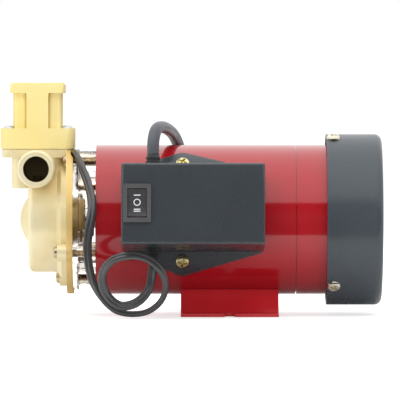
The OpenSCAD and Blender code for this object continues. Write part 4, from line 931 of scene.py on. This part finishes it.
STEEL = finish_material(
    "bright_steel", srgb(214, 214, 212), srgb(196, 196, 196), 0.24, metallic=1.0,
    mottle_scale=200, grain=(3000, 1200, 0.4), relief=0.06, wear_and_highlight_tone=srgb(235, 235, 232),
    wear_and_highlight=0.5, wear_and_highlight_radius=0.0003)
LAMINATION = finish_material(
    "lamination", srgb(150, 151, 155), srgb(124, 125, 130), 0.4, metallic=1.0, mottle_scale=120)
ALUMINIUM = finish_material(
    "die_cast", srgb(200, 201, 204), srgb(180, 181, 186), 0.45, metallic=1.0, mottle_scale=70,
    grain=(2600, 600, 0.5), relief=0.3, relief_depth=0.0001)
COPPER = finish_material(
    "enamelled_wire", srgb(190, 112, 66), srgb(160, 86, 48), 0.35, metallic=0.6,
    mottle_scale=260, grain=(1500, 700, 0.5), relief=0.6, relief_depth=0.0004)
MARK_WHITE = finish_material(
    "mark_white", srgb(236, 236, 234), srgb(226, 226, 224), 0.5, mottle_scale=300)
CLEAR = make_glass("clear_plastic", (0.98, 0.93, 0.85, 1), 0.16, ior=1.3)
REED_GLASS = make_glass("reed_glass", (0.85, 0.93, 0.88, 1), 0.02)

NODE_FINISH = {
    "pump_casing": CAST_BRASS, "casing_cover": CAST_BRASS, "casing_ring": RUBBER,
    "impeller": CAST_BRASS, "impeller_nut": STEEL, "shaft_seal": RUBBER,
    "casing_screws": SCREW_BRASS, "lantern": CLEAR, "water_slinger": RUBBER,
    "motor_shell": RED_PAINT, "front_shield": ALUMINIUM, "rear_shell": RED_PAINT,
    "front_bearing": STEEL, "rear_bearing": STEEL, "stator_core": LAMINATION,
    "windings": COPPER, "rotor": LAMINATION, "motor_shaft": STEEL,
    "cooling_fan": BLACK_PLASTIC, "fan_cover": COVER_PLASTIC, "fan_cover_screws": STEEL,
    "foot": FOOT_RED_PAINTED_LIGHT, "saddle_plate": DARK_PLASTIC, "saddle_screws": SCREW_BRASS,
    "control_box": DARK_PLASTIC, "box_screws": SCREW_BRASS, "capacitor": GREY_PLASTIC,
    "terminal_block": CREAM_PLASTIC, "rocker_frame": BEZEL_PLASTIC, "rocker": ROCKER_PLASTIC,
    "lead_bush": RUBBER, "mains_bush": RUBBER, "switch_housing": CREAM_PLASTIC,
    "switch_lid": CREAM_PLASTIC, "switch_gasket": SEAL_RUBBER, "flow_piston": BLACK_PLASTIC,
    "reed_switch": REED_GLASS, "switch_screws": STEEL, "hank_tie": BLACK_PLASTIC,
    "plug_body": RUBBER, "plug_pins": SCREW_BRASS,
}

# Camera, and the cords with what hangs on them
set_camera()
mains, mains_route = make_mains(CORD_SKIN)
lead, lead_route = make_lead(LEAD_SKIN)
plug = make_plug(RUBBER)
tie = make_tie(BLACK_PLASTIC)

# Finishes of the CAD pieces, then the pieces that stand for some of them
for name, material in NODE_FINISH.items():
    piece = NODES[name]
    piece.data.materials.clear()
    piece.data.materials.append(material)

make_screws(SCREW_BRASS, SCREW_NICKEL, STEEL, DULL_SCREW)
make_marks(MARK_WHITE)
make_bushes(RUBBER)
for name, width in EDGE_ROUNDS.items():
    round_edges(name, width)


# Stage: pale floor, white surroundings, soft lamps

FLOOR_HALF, FLOOR_DROP, FLOOR_GLOW = 30, 0.0002, 0.62
CARD_Y, CARD_HALF, CARD_TOP = -0.153, 1.5, 0.122
SKY_SHEEN, SKY_SHEEN_POWER, SKY_FILL = 0.55, 1.5, 0.5
# Name, place, what it faces, width, height and watts
LAMPS = (
    ("key_softbox", (-0.2, -0.75, 0.95), (-0.02, 0, 0.05), 1.6, 0.7, 5),
    ("front_fill", (0, -2.0, 0.18), (-0.02, 0, 0.05), 2.4, 0.7, 13),
    ("top_softbox", (0, 0.15, 1.2), (0, 0, 0.05), 1.4, 1.0, 7),
    ("left_softbox", (-1.2, -0.4, 0.5), (-0.02, 0, 0.06), 0.8, 0.8, 2),
    ("back_softbox", (0.2, 1.1, 0.8), (0, 0, 0.05), 1.2, 0.8, 4),
)


def stage_sheet(name, corners, material_name, grey, rough):
    """A flat sheet of the stage without gloss, and its material's tree and shader."""
    sheet = mesh_piece(name, corners, [(0, 1, 2, 3)], smooth=False)
    material, tree, shader = new_material(material_name)
    set_inputs(shader, Base_Color=(grey, grey, grey, 1), Roughness=rough, Specular_IOR_Level=0.0)
    sheet.data.materials.append(material)
    return sheet, tree, shader


def make_floor():
    """Pale paper that glows a little to the camera, so that it ends in plain white."""
    half = FLOOR_HALF
    ground, tree, shader = stage_sheet(
        "floor", [(-half, -half, 0), (half, -half, 0), (half, half, 0), (-half, half, 0)],
        "floor_paper", 0.93, 0.9)
    ground.location.z = -FLOOR_DROP
    path = node(tree, "ShaderNodeLightPath")
    glow = math_maker(tree)("MULTIPLY", path.outputs["Is Camera Ray"], FLOOR_GLOW)
    set_inputs(shader, Emission_Color=(1, 1, 1, 1))
    tree.links.new(glow, shader.inputs["Emission Strength"])


def make_card():
    """A dark card before the motor, seen only in its gloss."""
    card, _, _ = stage_sheet(
        "dark_card", [(-CARD_HALF, CARD_Y, 0), (CARD_HALF, CARD_Y, 0),
                      (CARD_HALF, CARD_Y, CARD_TOP), (-CARD_HALF, CARD_Y, CARD_TOP)],
        "card_felt", 0.02, 1.0)
    for ray in ("camera", "diffuse", "transmission", "shadow"):
        setattr(card, "visible_" + ray, False)


def make_sky():
    """White surroundings, dimmer as a light. In gloss they brighten upward, as a tent does."""
    world = bpy.data.worlds.new("surroundings")
    bpy.context.scene.world = world
    world.use_nodes = True
    tree = world.node_tree
    math = math_maker(tree)
    path = node(tree, "ShaderNodeLightPath")
    place = node(tree, "ShaderNodeTexCoord")
    parts = node(tree, "ShaderNodeSeparateXYZ")
    tree.links.new(place.outputs["Generated"], parts.inputs["Vector"])
    height = math("MAXIMUM", parts.outputs["Z"], 0.0)
    sheen = math("ADD", 1.0, math("MULTIPLY", math("POWER", height, SKY_SHEEN_POWER), SKY_SHEEN))
    glossy = math("MULTIPLY", path.outputs["Is Glossy Ray"], sheen)
    plain = math("MAXIMUM", path.outputs["Is Camera Ray"], path.outputs["Is Transmission Ray"])
    fill = math("MULTIPLY", path.outputs["Is Diffuse Ray"], SKY_FILL)
    back = tree.nodes["Background"]
    set_inputs(back, Color=(1, 1, 1, 1))
    tree.links.new(math("ADD", math("ADD", glossy, plain), fill), back.inputs["Strength"])


def make_lamps():
    for name, place, aim, wide, high, watts in LAMPS:
        data = bpy.data.lights.new(name, "AREA")
        data.shape = "RECTANGLE"
        data.size, data.size_y = wide, high
        data.energy = watts
        light = add_object(name, data)
        light.location = place
        light.visible_glossy = False
        light.rotation_euler = (Vector(aim) - Vector(place)).to_track_quat("-Z", "Y").to_euler()


make_floor()
make_card()
make_sky()
make_lamps()
bpy.context.scene.view_settings.view_transform = "Standard"
